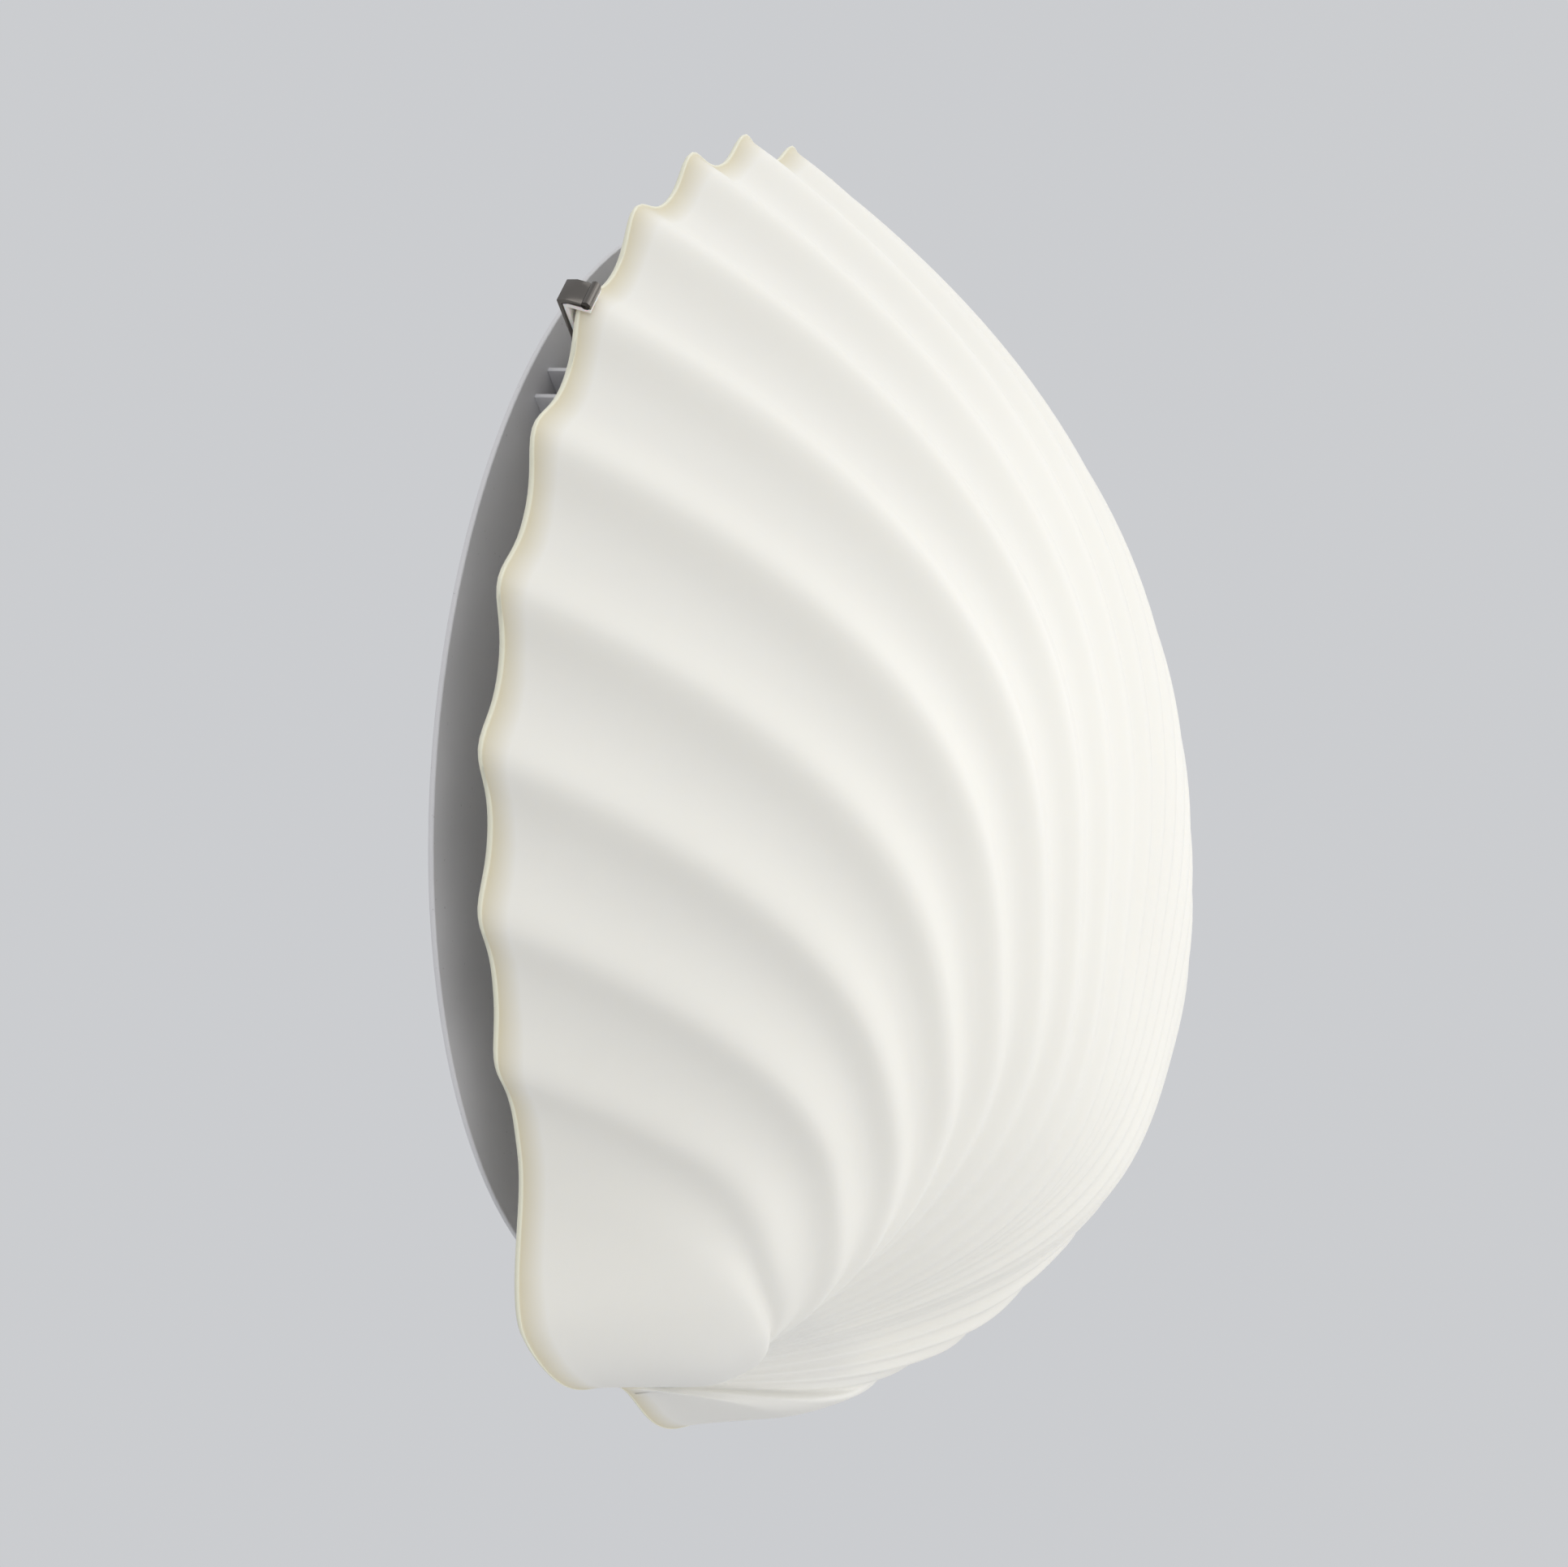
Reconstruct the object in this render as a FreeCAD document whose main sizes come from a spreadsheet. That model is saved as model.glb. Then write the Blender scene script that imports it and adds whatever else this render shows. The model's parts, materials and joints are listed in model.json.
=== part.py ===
"""Shell wall sconce: a scalloped glass shade held by one sprung clip and two fixed
hooks on a round wall plate, with a lampholder, lamp, terminals and leads inside.

Frame: millimetres. +Z is up, +X is to the right seen from the room, the wall is the
plane Y = 0 and the room is on the -Y side. The origin is the middle of the plate on
the wall. Distances into the room are called "out" and run along -Y.
"""
import FreeCAD, Part
import math
import os
import Sketcher
from FreeCAD import Placement, Rotation, Vector

os.makedirs("parts", exist_ok=True)
doc = FreeCAD.newDocument("shell_wall_sconce")

# ---------------------------------------------------------------- driving dimensions
SIZES = {
    # wall plate
    "plate_radius": 125.0, "sheet_thick": 1.2, "pan_inset": 51.0, "pan_rise": 6.0, "pan_slope": 4.0,
    "entry_radius": 7.0, "entry_up": 28.0, "slot_apart": 84.0, "slot_up": 0.0,
    "slot_radius": 2.6, "slot_length": 12.0,
    # glass shade
    "rim_out": 15.5, "rim_mean": 136.8, "rim_egg": 5.0, "heel_lift": 5.7, "ear_flare": 13.5,
    "ear_reach": 48.0, "notch_depth": 8.0, "notch_half_deg": 8.0, "shade_depth": 100.3,
    "umbo_swell": 7.2, "rib_relief": 5.2, "glass_wall": 4.0, "pole_level": -98.0,
    # clip and hooks
    "strip_thick": 1.0, "hook_width": 6.0, "foot_inset": 13.0, "foot_length": 16.0, "lip_length": 4.2,
    "liner_thick": 0.8, "glass_gap": 0.3, "seat_inset": 7.0, "clip_rib": 6.5,
    "upper_rib": 5.5, "lower_rib": 11.5,
    "rivet_radius": 1.6, "rivet_head": 3.0, "rivet_rise": 1.2, "rivet_apart": 9.0,
    "pin_radius": 1.5, "pin_gap": 0.05, "eye_wall": 1.0, "pivot_inset": 9.0, "pivot_lift": 5.0,
    "ear_gap": 0.3, "bracket_depth": 8.0, "pin_head": 0.8, "pin_head_thick": 1.0,
    "spring_wire": 0.35, "spring_turns": 3.0, "spring_gap": 0.5, "spring_clear": 0.3, "spring_overhang": 1.5,
    # lamp bracket and lampholder
    "bracket_sheet": 1.5, "bracket_wide": 36.0, "shelf_inset": 2.0, "shelf_out": 72.0,
    "bracket_foot": 26.0, "lamp_out": 50.0, "bolt_radius": 2.0, "bolt_apart": 22.0,
    "nut_across": 7.0, "nut_thick": 3.2, "bolt_head": 3.9, "bolt_head_rise": 2.4,
    "base_height": 17.0, "base_wall": 2.6, "base_floor": 3.2, "insert_gap": 0.2,
    "skirt_height": 24.0, "ring_flange": 5.0, "ring_thick": 6.0, "ring_level": 27.0,
    "insert_flange": 1.2, "insert_height": 10.0, "thread_gap": 0.4, "sleeve_wall": 0.4,
    "sleeve_height": 21.0,
    # lamp
    "cap_radius": 13.2, "cap_height": 21.0, "lamp_radius": 30.0, "lamp_length": 104.0,
    "lamp_wall": 0.8, "tip_radius": 4.6, "tip_height": 1.6, "insulator_height": 4.0,
    "contact_gap": 0.3,
    # terminals and leads
    "block_length": 30.0, "block_depth": 17.0, "block_rise": 14.0, "block_side": 44.0,
    "block_level": -28.0, "pole_pitch": 10.0, "pole_bore": 1.6, "clamp_radius": 1.7,
    "clamp_rise": 1.0, "lead_radius": 1.1, "tag_wide": 8.0, "tag_side": -34.0, "tag_level": -34.0,
}

# sizes that follow from others: the pan and the bracket on it keep their distance from the edge
FOLLOWING = {
    "pan_radius": "=plate_radius - pan_inset",
    "shelf_level": "=shelf_inset - pan_radius",
}

sheet = doc.addObject("Spreadsheet::Sheet", "Sizes")
for row, (alias, number) in enumerate((SIZES | FOLLOWING).items(), start=1):
    sheet.set(f"A{row}", alias)
    sheet.set(f"B{row}", str(number))
    sheet.setAlias(f"B{row}", alias)
doc.recompute()


def size(alias):
    """The number that the sheet holds under an alias."""
    return float(sheet.get(alias))


PIECES = {}


def keep(name, thing):
    """Give a finished sub-part its label, which names its file."""
    thing.Label = name
    PIECES[name] = thing
    return thing


# ---------------------------------------------------------------- small makers
def bound(thing, **formulas):
    """Bind properties of an object to sheet cells, written with S for the sheet."""
    for prop, formula in formulas.items():
        thing.setExpression(prop, formula.replace("S.", "Sizes."))
    return thing


def cylinder(name, radius, height, at=(0, 0, 0), along=(0, 0, 1)):
    """A cylinder from a point along a direction, its sizes bound to the sheet."""
    rod = doc.addObject("Part::Cylinder", name)
    bound(rod, Radius=radius, Height=height)
    rod.Placement = Placement(Vector(*at), Rotation(Vector(0, 0, 1), Vector(*along)))
    return rod


def box(name, length, width, height, at):
    """A box from its lowest corner, its sizes bound to the sheet."""
    block = doc.addObject("Part::Box", name)
    bound(block, Length=length, Width=width, Height=height)
    block.Placement = Placement(Vector(*at), Rotation())
    return block


def fused(name, shapes):
    """Several overlapping shapes as one solid."""
    joined = doc.addObject("Part::MultiFuse", name)
    joined.Shapes = shapes
    joined.Refine = True
    return joined


def group(name, shapes):
    """Like solids that stay separate and share one node."""
    bundle = doc.addObject("Part::Compound", name)
    bundle.Links = shapes
    return bundle


def cut(name, base, tools):
    """A shape with others taken out of it."""
    result = doc.addObject("Part::Cut", name)
    result.Base = base
    result.Tool = tools[0] if len(tools) == 1 else fused(name + "_tools", tools)
    return result


def sketch_on(body, role, name):
    """A sketch on one of a body's own origin planes."""
    plane = next(p for p in body.Origin.OriginFeatures if p.Role == role)
    drawing = body.newObject("Sketcher::SketchObject", name)
    drawing.AttachmentSupport = [(plane, "")]
    drawing.MapMode = "FlatFace"
    return drawing


def closed_line(drawing, points):
    """Draw a closed outline of straight lines through points, joined corner to corner."""
    corners = [Vector(a, b, 0) for a, b in points]
    count = len(corners)
    for i in range(count):
        drawing.addGeometry(Part.LineSegment(corners[i], corners[(i + 1) % count]), False)
    for i in range(count):
        drawing.addConstraint(Sketcher.Constraint("Coincident", i, 2, (i + 1) % count, 1))


def turned(name, points):
    """A solid turned about its own Z axis from (radius, height) points, as a body."""
    body = doc.addObject("PartDesign::Body", name)
    drawing = sketch_on(body, "XZ_Plane", name + "_section")
    closed_line(drawing, points)
    spin = body.newObject("PartDesign::Revolution", name + "_turn")
    spin.Profile = drawing
    spin.ReferenceAxis = (drawing, ["V_Axis"])
    spin.Angle = 360
    drawing.Visibility = False
    return body


def padded(name, points, width):
    """A straight extrusion of an outline in the XY plane, centred on it, as a body."""
    body = doc.addObject("PartDesign::Body", name)
    drawing = sketch_on(body, "XY_Plane", name + "_outline")
    closed_line(drawing, points)
    pad = body.newObject("PartDesign::Pad", name + "_pad")
    pad.Profile = drawing
    pad.Midplane = True
    bound(pad, Length=width)
    return body


def strip_outline(spine, thick):
    """Both sides of a bent strip: its spine is one face, the other lies to its right."""
    normals = []
    for (x0, y0), (x1, y1) in zip(spine, spine[1:]):
        run = math.hypot(x1 - x0, y1 - y0)
        normals.append(((y1 - y0) / run, -(x1 - x0) / run))
    far = []
    for i, (x, y) in enumerate(spine):
        before = normals[max(i - 1, 0)]
        after = normals[min(i, len(normals) - 1)]
        mitre = 1 + before[0] * after[0] + before[1] * after[1]
        far.append((x + thick * (before[0] + after[0]) / mitre, y + thick * (before[1] + after[1]) / mitre))
    return list(spine) + far[::-1]


def corner_arc(start, corner, finish):
    """The arc that leaves start towards a corner and reaches finish, both as far from the corner."""
    back = (start - corner).Length
    one, two = (start - corner).normalize(), (finish - corner).normalize()
    opening = one.getAngle(two) / 2
    middle = corner + (one + two).normalize() * (back / math.cos(opening) - back * math.tan(opening))
    return Part.Arc(start, middle, finish).toShape()


# ---------------------------------------------------------------- the form of the shade
RIB_PITCH = 11.69          # degrees of rim from rib to rib at the top
RIB_GROWTH = 0.0425        # how much each pitch grows towards the bottom
HEEL_START, HEEL_SPAN = 143.0, 20.0
EAR_START, EAR_SPAN = 147.0, 13.0
SWELL_START, SWELL_SPAN = 138.0, 14.0
RIB_SHARPNESS = 0.7
RIB_START = 1.1            # how slowly the ribs rise as they leave the beak
RIB_SHIFT = 0.19           # how far the ribs past the third stand towards the top
SHIFT_SPAN = 35.0          # degrees of rim over which they come to stand so
DOME_ROUNDNESS = 1.5
TURN_START, TURN_SPAN = 25.0, 75.0   # degrees of rim over which the ribs change from top to side
TOP_PEAK, SIDE_PEAK = 0.39, 0.49     # where a rib is highest, as a share of its run
TOP_FALL, SIDE_FALL = 2.3, 2.9       # how late a rib falls to the rim
TOP_CREST, SIDE_CREST = 3.4, 2.2     # how flat a rib is before its highest place


def smooth(x):
    """A step from 0 to 1 with no corners."""
    x = min(max(x, 0.0), 1.0)
    return x * x * (3 - 2 * x)


def rim_radius(angle):
    """Mean radius of the rim, angle in degrees from the top, before ears and notch."""
    lift = size("heel_lift") * smooth((abs(angle) - HEEL_START) / HEEL_SPAN)
    return size("rim_mean") + size("rim_egg") * math.cos(math.radians(angle)) + lift


def rim_place(angle):
    """Front-view place of the rim, X and Z."""
    radius = rim_radius(angle)
    return -radius * math.sin(math.radians(angle)), radius * math.cos(math.radians(angle))


BEAK = -rim_radius(180.0)              # the ribs run together here, at X = 0
LONGEST = rim_radius(0.0) - BEAK


def rib_number(angle):
    """Ribs counted from the top, whole and a half on each crest."""
    number = (-RIB_PITCH + math.sqrt(RIB_PITCH ** 2 + 4 * RIB_GROWTH * abs(angle))) / (2 * RIB_GROWTH)
    return number + RIB_SHIFT * smooth(abs(angle) / SHIFT_SPAN)


def rib_angle(number):
    """Rim angle of a rib crest past the third."""
    number -= RIB_SHIFT
    return RIB_PITCH * number + RIB_GROWTH * number ** 2


def rib_relief(angle, along):
    """Height of the ribs over the smooth dome: narrow crests, wide flutes, none at the beak."""
    turn = 2 * math.pi * (rib_number(angle) - 0.5)
    low = math.exp(-2 * RIB_SHARPNESS)
    wave = (math.exp(RIB_SHARPNESS * (math.cos(turn) - 1)) - low) / (1 - low) - 0.5
    fade = 1 - 0.4 * smooth((abs(angle) - 112) / 26) - 0.6 * smooth((abs(angle) - 139) / 12)
    return size("rib_relief") * wave * fade * along ** RIB_START


def fan_angle(x, z):
    """Rim angle of the rib line that runs from the beak through a front-view point."""
    wanted = math.atan2(abs(x), z - BEAK)
    low, high = 0.0, 180.0
    for _ in range(40):
        middle = (low + high) / 2
        rim_x, rim_z = rim_place(middle)
        if math.atan2(-rim_x, rim_z - BEAK) < wanted:
            low = middle
        else:
            high = middle
    return low


def dome_height(x, z):
    """Depth of the smooth dome off the rim plane, and the relief of the ribs on it."""
    angle = fan_angle(x, z)
    rim_x, rim_z = rim_place(angle)
    run = max(math.hypot(rim_x, rim_z - BEAK), 1e-6)
    along = min(math.hypot(x, z - BEAK) / run, 1.0)
    swell = size("umbo_swell") * smooth((angle - SWELL_START) / SWELL_SPAN) * min(run / 40, 1)
    top = size("shade_depth") * (1 - (1 - min(run / LONGEST, 1)) ** DOME_ROUNDNESS) + swell
    side = smooth((angle - TURN_START) / TURN_SPAN)
    peak = TOP_PEAK + (SIDE_PEAK - TOP_PEAK) * side
    if along > peak:
        fall = TOP_FALL + (SIDE_FALL - TOP_FALL) * side
        depth = top * (1 - ((along - peak) / (1 - peak)) ** fall)
    else:
        crest = TOP_CREST + (SIDE_CREST - TOP_CREST) * side
        depth = top * (1 - ((peak - along) / peak) ** crest)
    return depth, rib_relief(angle, along)


def dome_point(share, angle):
    """A point of the smooth dome, share of the way from its pole to the rim at an angle."""
    rim_x, rim_z = rim_place(angle)
    pole = size("pole_level")
    x, z = share * rim_x, pole + share * (rim_z - pole)
    depth, relief = dome_height(x, z)
    around = math.degrees(math.atan2(abs(x), z))
    reach = math.hypot(x, z)
    flare = size("ear_flare") * smooth((around - EAR_START) / EAR_SPAN)
    notch = size("notch_depth") * math.exp(-((180 - around) / size("notch_half_deg")) ** 2)
    push = (flare - notch) * math.exp(-depth / size("ear_reach")) * smooth((reach - 40) / 90)
    grow = 1 + push / max(reach, 1.0)
    return Vector(x * grow, -(size("rim_out") + depth), z * grow), relief


def glass_point(share, angle, sink, gain=1.0):
    """A point of the ribbed glass, sunk below its outer skin by a distance."""
    step = 1e-3
    place, relief = dome_point(share, angle)
    inner = max(share, 20 * step)
    sweep = 0.05 if share > 0 else 60
    around = dome_point(inner, angle + sweep)[0] - dome_point(inner, angle - sweep)[0]
    inward = dome_point(inner, angle)[0] - dome_point(inner - step, angle)[0]
    normal = around.cross(inward)
    if normal.dot(place - Vector(0, -30, -20)) < 0:
        normal = normal * -1
    normal.normalize()
    normal.y *= smooth((-place.y - size("rim_out")) / 12)
    normal.normalize()
    return place + normal * (relief * gain - sink)


def skin(sink, gain):
    """One closed-round surface of the shade, from its rim to its pole."""
    around, rings = 216, 34
    poles = []
    for i in range(around):
        angle = -180 + 360 * i / around
        column = [glass_point(math.cos(math.pi / 2 * j / (rings - 1)), angle, sink, gain)
                  for j in range(rings)]
        poles.append(column)
    for column in poles:
        column[-1] = poles[0][-1]
    surface = Part.BSplineSurface()
    ring_knots = rings - 2
    surface.buildFromPolesMultsKnots(
        poles, [1] * (around + 1), [4] + [1] * (ring_knots - 2) + [4],
        [float(k) for k in range(around + 1)], [float(k) for k in range(ring_knots)],
        True, False, 3, 3)
    return surface


def make_shade():
    """The glass: an outer and an inner ribbed skin joined by the flat ground rim."""
    control_gain = 1.14                 # a smooth skin through these control points is flatter
    outer = skin(0.0, control_gain)
    inner = skin(size("glass_wall"), control_gain * 0.6)
    rims = [Part.Wire([surface.vIso(0.0).toShape()]) for surface in (outer, inner)]
    ground = Part.makeFace(rims, "Part::FaceMakerBullseye")
    shell = Part.Shell([outer.toShape(), ground, inner.toShape()])
    shell.sewShape()
    solid = Part.Solid(shell)
    if solid.Volume < 0:
        solid.reverse()
    glass = doc.addObject("Part::Feature", "shade_glass")
    glass.Shape = solid
    return keep("shade", glass)


def glass_radius(angle, out):
    """Distance of the glass's outer skin from the plate's axis, at a distance off the wall."""
    low, high = 0.5, 1.0
    for _ in range(30):
        middle = (low + high) / 2
        if -glass_point(middle, angle, 0.0).y > out:
            low = middle
        else:
            high = middle
    place = glass_point(low, angle, 0.0)
    return math.hypot(place.x, place.z)


# ---------------------------------------------------------------- wall plate
def make_plate():
    """The pressed plate: a flat rim on the wall and a pan raised off it, with its holes."""
    thick, rise = size("sheet_thick"), size("pan_rise")
    edge, pan, slope = size("plate_radius"), size("pan_radius"), size("pan_slope")
    outline = [(0, rise), (pan, rise), (pan + slope, 0), (edge, 0), (edge, thick),
               (pan + slope + thick / 2, thick), (pan + thick / 2, rise + thick), (0, rise + thick)]
    blank = turned("plate_blank", outline)
    blank.Placement = Placement(Vector(0, 0, 0), Rotation(Vector(1, 0, 0), 90))
    deep = "S.pan_rise + 4 * S.sheet_thick"
    outward = (0, -1, 0)
    holes = [cylinder("entry_hole", "S.entry_radius", deep, (0, 2, size("entry_up")), outward)]
    for side in (-1, 1):
        straight = size("slot_length") - 2 * size("slot_radius")
        start = side * size("slot_apart") / 2 - straight / 2
        level = size("slot_up")
        for end, x in enumerate((start, start + straight)):
            holes.append(cylinder(f"slot_end_{side}_{end}", "S.slot_radius", deep, (x, 2, level), outward))
        holes.append(box(f"slot_middle_{side}", "S.slot_length - 2 * S.slot_radius", deep,
                         "2 * S.slot_radius",
                         (start, 2 - rise - 4 * thick, level - size("slot_radius"))))
        bolt = (side * size("bolt_apart") / 2, 2, bracket_foot_middle())
        holes.append(cylinder(f"bolt_hole_{side}", "S.bolt_radius + 0.1", deep, bolt, outward))
    for name, x, level in (("tag_hole", size("tag_side"), size("tag_level")),
                           ("block_hole", block_middle_x(), block_screw_level())):
        holes.append(cylinder(name, "S.bolt_radius + 0.1", deep, (x, 2, level), outward))
    for number, angle in enumerate(HOLDER_ANGLES):
        for spot in rivet_spots(angle):
            holes.append(cylinder(f"rivet_hole_{number}", "S.rivet_radius", deep, spot(2), outward))
    keep("back_plate", cut("plate", blank, holes))


def make_grommet():
    """The rubber ring that lines the cable entry, gripping the sheet's edge."""
    bore, hole = size("entry_radius") - 1.8, size("entry_radius")
    rise, thick, lip, bead = size("pan_rise"), size("sheet_thick"), 2.0, 1.6
    outline = [(bore, rise - bead), (hole + lip, rise - bead), (hole + lip, rise), (hole, rise),
               (hole, rise + thick), (hole + lip, rise + thick), (hole + lip, rise + thick + bead),
               (bore, rise + thick + bead)]
    ring = turned("grommet", outline)
    ring.Placement = Placement(Vector(0, 0, size("entry_up")), Rotation(Vector(1, 0, 0), 90))
    keep("cable_grommet", ring)


# ---------------------------------------------------------------- clip and hooks
CLIP_ANGLE = rib_angle(size("clip_rib"))
UPPER_ANGLE, LOWER_ANGLE = -rib_angle(size("upper_rib")), -rib_angle(size("lower_rib"))
HOLDER_ANGLES = [CLIP_ANGLE, UPPER_ANGLE, LOWER_ANGLE]
FOOT_END = size("plate_radius") - size("foot_inset")
FOOT_START = FOOT_END - size("foot_length")
PIVOT_ALONG = size("plate_radius") - size("pivot_inset")
PIVOT_OUT = size("sheet_thick") + size("pivot_lift")


def holder_frame(angle):
    """Placement whose X runs out along the plate, Y into the room and Z along the rim."""
    turn = math.radians(angle)
    radial = Vector(-math.sin(turn), 0, math.cos(turn))
    out = Vector(0, -1, 0)
    return Placement(Vector(0, 0, 0), Rotation(radial, out, radial.cross(out), "XYZ"))


def rivet_spots(angle):
    """Two places for rivets on a holder's foot, each as a function of the depth."""
    frame = holder_frame(angle)
    middle = (FOOT_START + FOOT_END) / 2 - size("strip_thick")
    reach = size("rivet_apart") / 2
    return [lambda depth, s=s: tuple(frame.multVec(Vector(middle + s * reach, -depth, 0))) for s in (-1, 1)]


def make_rivets(name, angle, foot_thick):
    """Two rivets, flush behind the sheet and domed in front of the foot."""
    frame = holder_frame(angle)
    rivets = []
    for number, spot in enumerate(rivet_spots(angle)):
        top = size("sheet_thick") + foot_thick
        radius, head, rise = size("rivet_radius"), size("rivet_head"), size("rivet_rise")
        rivet = turned(f"{name}_{number}", [(0, 0), (radius, 0), (radius, top), (head, top),
                                            (head * 0.9, top + rise * 0.5), (head * 0.6, top + rise * 0.88),
                                            (0, top + rise)])
        rivet.Placement = Placement(Vector(*spot(0)), Rotation(Vector(0, 0, 1), Vector(0, -1, 0)))
        rivets.append(rivet)
    keep(name, group(name + "_pair", rivets))


def glass_line(angle):
    """Rim radius and lip radius of the glass where a holder grips it, at its widest there."""
    half = math.degrees(size("hook_width") / 2 / size("rim_mean"))
    lip_out = size("rim_out") + size("lip_length")
    rim = max(glass_radius(angle + s * half, size("rim_out")) for s in (-1, 0, 1))
    lip = max(glass_radius(angle + s * half, lip_out) for s in (-1, 0, 1))
    return rim, lip


def grip_spine(angle):
    """Inner face of the part of a holder that goes round the edge of the glass."""
    rim, lip = glass_line(angle)
    seat = size("rim_out") - size("glass_gap") - size("liner_thick")
    stand = size("glass_gap") + size("liner_thick")
    lean = (rim - lip) / size("lip_length")
    off = stand * math.hypot(1, lean)
    return [(rim - size("seat_inset"), seat), (rim + off, seat),
            (rim + off, size("rim_out")),
            (lip + off, size("rim_out") + size("lip_length"))]


def make_hook(name, angle):
    """A fixed hook: a riveted foot, a riser and a lip round the glass, with its liner."""
    grip = grip_spine(angle)
    foot = size("sheet_thick") + size("strip_thick")
    spine = [(FOOT_START, foot), (FOOT_END, foot)] + grip
    body = padded(name + "_strip", strip_outline(spine, size("strip_thick")), "S.hook_width")
    body.Placement = holder_frame(angle)
    holes = [cylinder(f"{name}_hole_{i}", "S.rivet_radius", "6 * S.strip_thick", spot(0), (0, -1, 0))
             for i, spot in enumerate(rivet_spots(angle))]
    keep(name, cut(name + "_drilled", body, holes))
    make_liner(name + "_liner", angle)
    make_rivets(name + "_rivets", angle, size("strip_thick"))


def make_liner(name, angle):
    """The soft liner between a holder and the glass."""
    grip = grip_spine(angle)
    raised = strip_outline(grip, -size("liner_thick"))
    liner = padded(name + "_strip", raised, "S.hook_width")
    liner.Placement = holder_frame(angle)
    keep(name, liner)


def make_clip():
    """The sprung clip: bracket, arm with its eye, liner, pin, spring and rivets."""
    frame = holder_frame(CLIP_ANGLE)
    rim_side = 1.2                             # width of the bracket's foot left outside its window
    along, out = PIVOT_ALONG, PIVOT_OUT
    eye = size("pin_radius") + size("pin_gap") + size("eye_wall")
    thick, width = size("strip_thick"), size("hook_width")
    half = width / 2 + size("ear_gap")
    plate_face = size("sheet_thick")

    # bracket: a foot along the plate and two upright ears, rounded about the pin
    foot = box("clip_foot", "S.foot_inset + S.foot_length - S.pivot_inset + S.bracket_depth / 2",
               "S.strip_thick", "S.hook_width + 2 * S.ear_gap + 2 * S.strip_thick",
               (FOOT_START, plate_face, -half - thick))
    ears = []
    for number, start in enumerate((-half - thick, half)):
        ears.append(box(f"clip_ear_{number}", "S.bracket_depth", "S.pivot_lift", "S.strip_thick",
                        (along - size("bracket_depth") / 2, plate_face, start)))
        ears.append(cylinder(f"clip_ear_round_{number}", "S.bracket_depth / 2", "S.strip_thick",
                             (along, out, start)))
    bore = cylinder("clip_ear_bore", "S.pin_radius", "4 * S.hook_width", (along, out, -2 * width))
    window = box("clip_window", "S.bracket_depth + 2", "2 * S.strip_thick",
                 "S.hook_width + 2 * S.ear_gap",
                 (along - size("bracket_depth") / 2 + rim_side, plate_face - thick / 2, -half))
    bracket = cut("clip_bracket_drilled", fused("clip_bracket_blank", [foot] + ears), [bore, window])
    rivet_holes = [cylinder(f"clip_foot_hole_{i}", "S.rivet_radius", "6 * S.strip_thick",
                            tuple(frame.inverse().multVec(Vector(*spot(0)))), (0, 1, 0))
                   for i, spot in enumerate(rivet_spots(CLIP_ANGLE))]
    bracket = cut("clip_bracket_whole", bracket, rivet_holes)
    bracket.Placement = frame
    keep("clip_bracket", bracket)

    # arm: a strip from the eye to the lip, and the eye that turns on the pin
    grip = grip_spine(CLIP_ANGLE)
    spine = [(along, out + eye)] + grip
    strip = padded("clip_strip", strip_outline(spine, thick), "S.hook_width")
    barrel = cylinder("clip_barrel", "S.pin_radius + S.pin_gap + S.eye_wall", "S.hook_width",
                      (along, out, -width / 2))
    hollow = cylinder("clip_eye_bore", "S.pin_radius + S.pin_gap", "3 * S.hook_width",
                      (along, out, -1.5 * width))
    arm = cut("clip_arm_whole", fused("clip_arm_blank", [strip, barrel]), [hollow])
    arm.Placement = frame
    keep("clip_arm", arm)
    make_liner("clip_liner", CLIP_ANGLE)

    make_spring_and_pin(frame, half + thick)
    make_rivets("clip_rivets", CLIP_ANGLE, thick)


def biarc(start, leaving, finish, arriving):
    """Two arcs that join two points, tangent to both headings and to each other."""
    span = finish - start
    both = leaving + arriving
    flat = 2 * (1 - leaving.dot(arriving))
    reach = (-span.dot(both) + math.sqrt(span.dot(both) ** 2 + flat * span.dot(span))) / flat
    one, two = start + leaving * reach, finish - arriving * reach
    middle = (one + two) * 0.5
    return [corner_arc(start, one, middle), corner_arc(middle, two, finish)]


def least_gap(place, first, last, wire):
    """Least gap between a coil's turns, measured on points of its middle line."""
    count = 48
    points = [place(first + (last - first) * i / count) for i in range(count + 1)]
    per_turn = int(count * 2 * math.pi / (last - first))
    gaps = [(points[i] - points[j]).Length for i in range(count + 1)
            for j in range(i + per_turn // 2, count + 1)]
    return min(gaps) - 2 * wire


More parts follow.
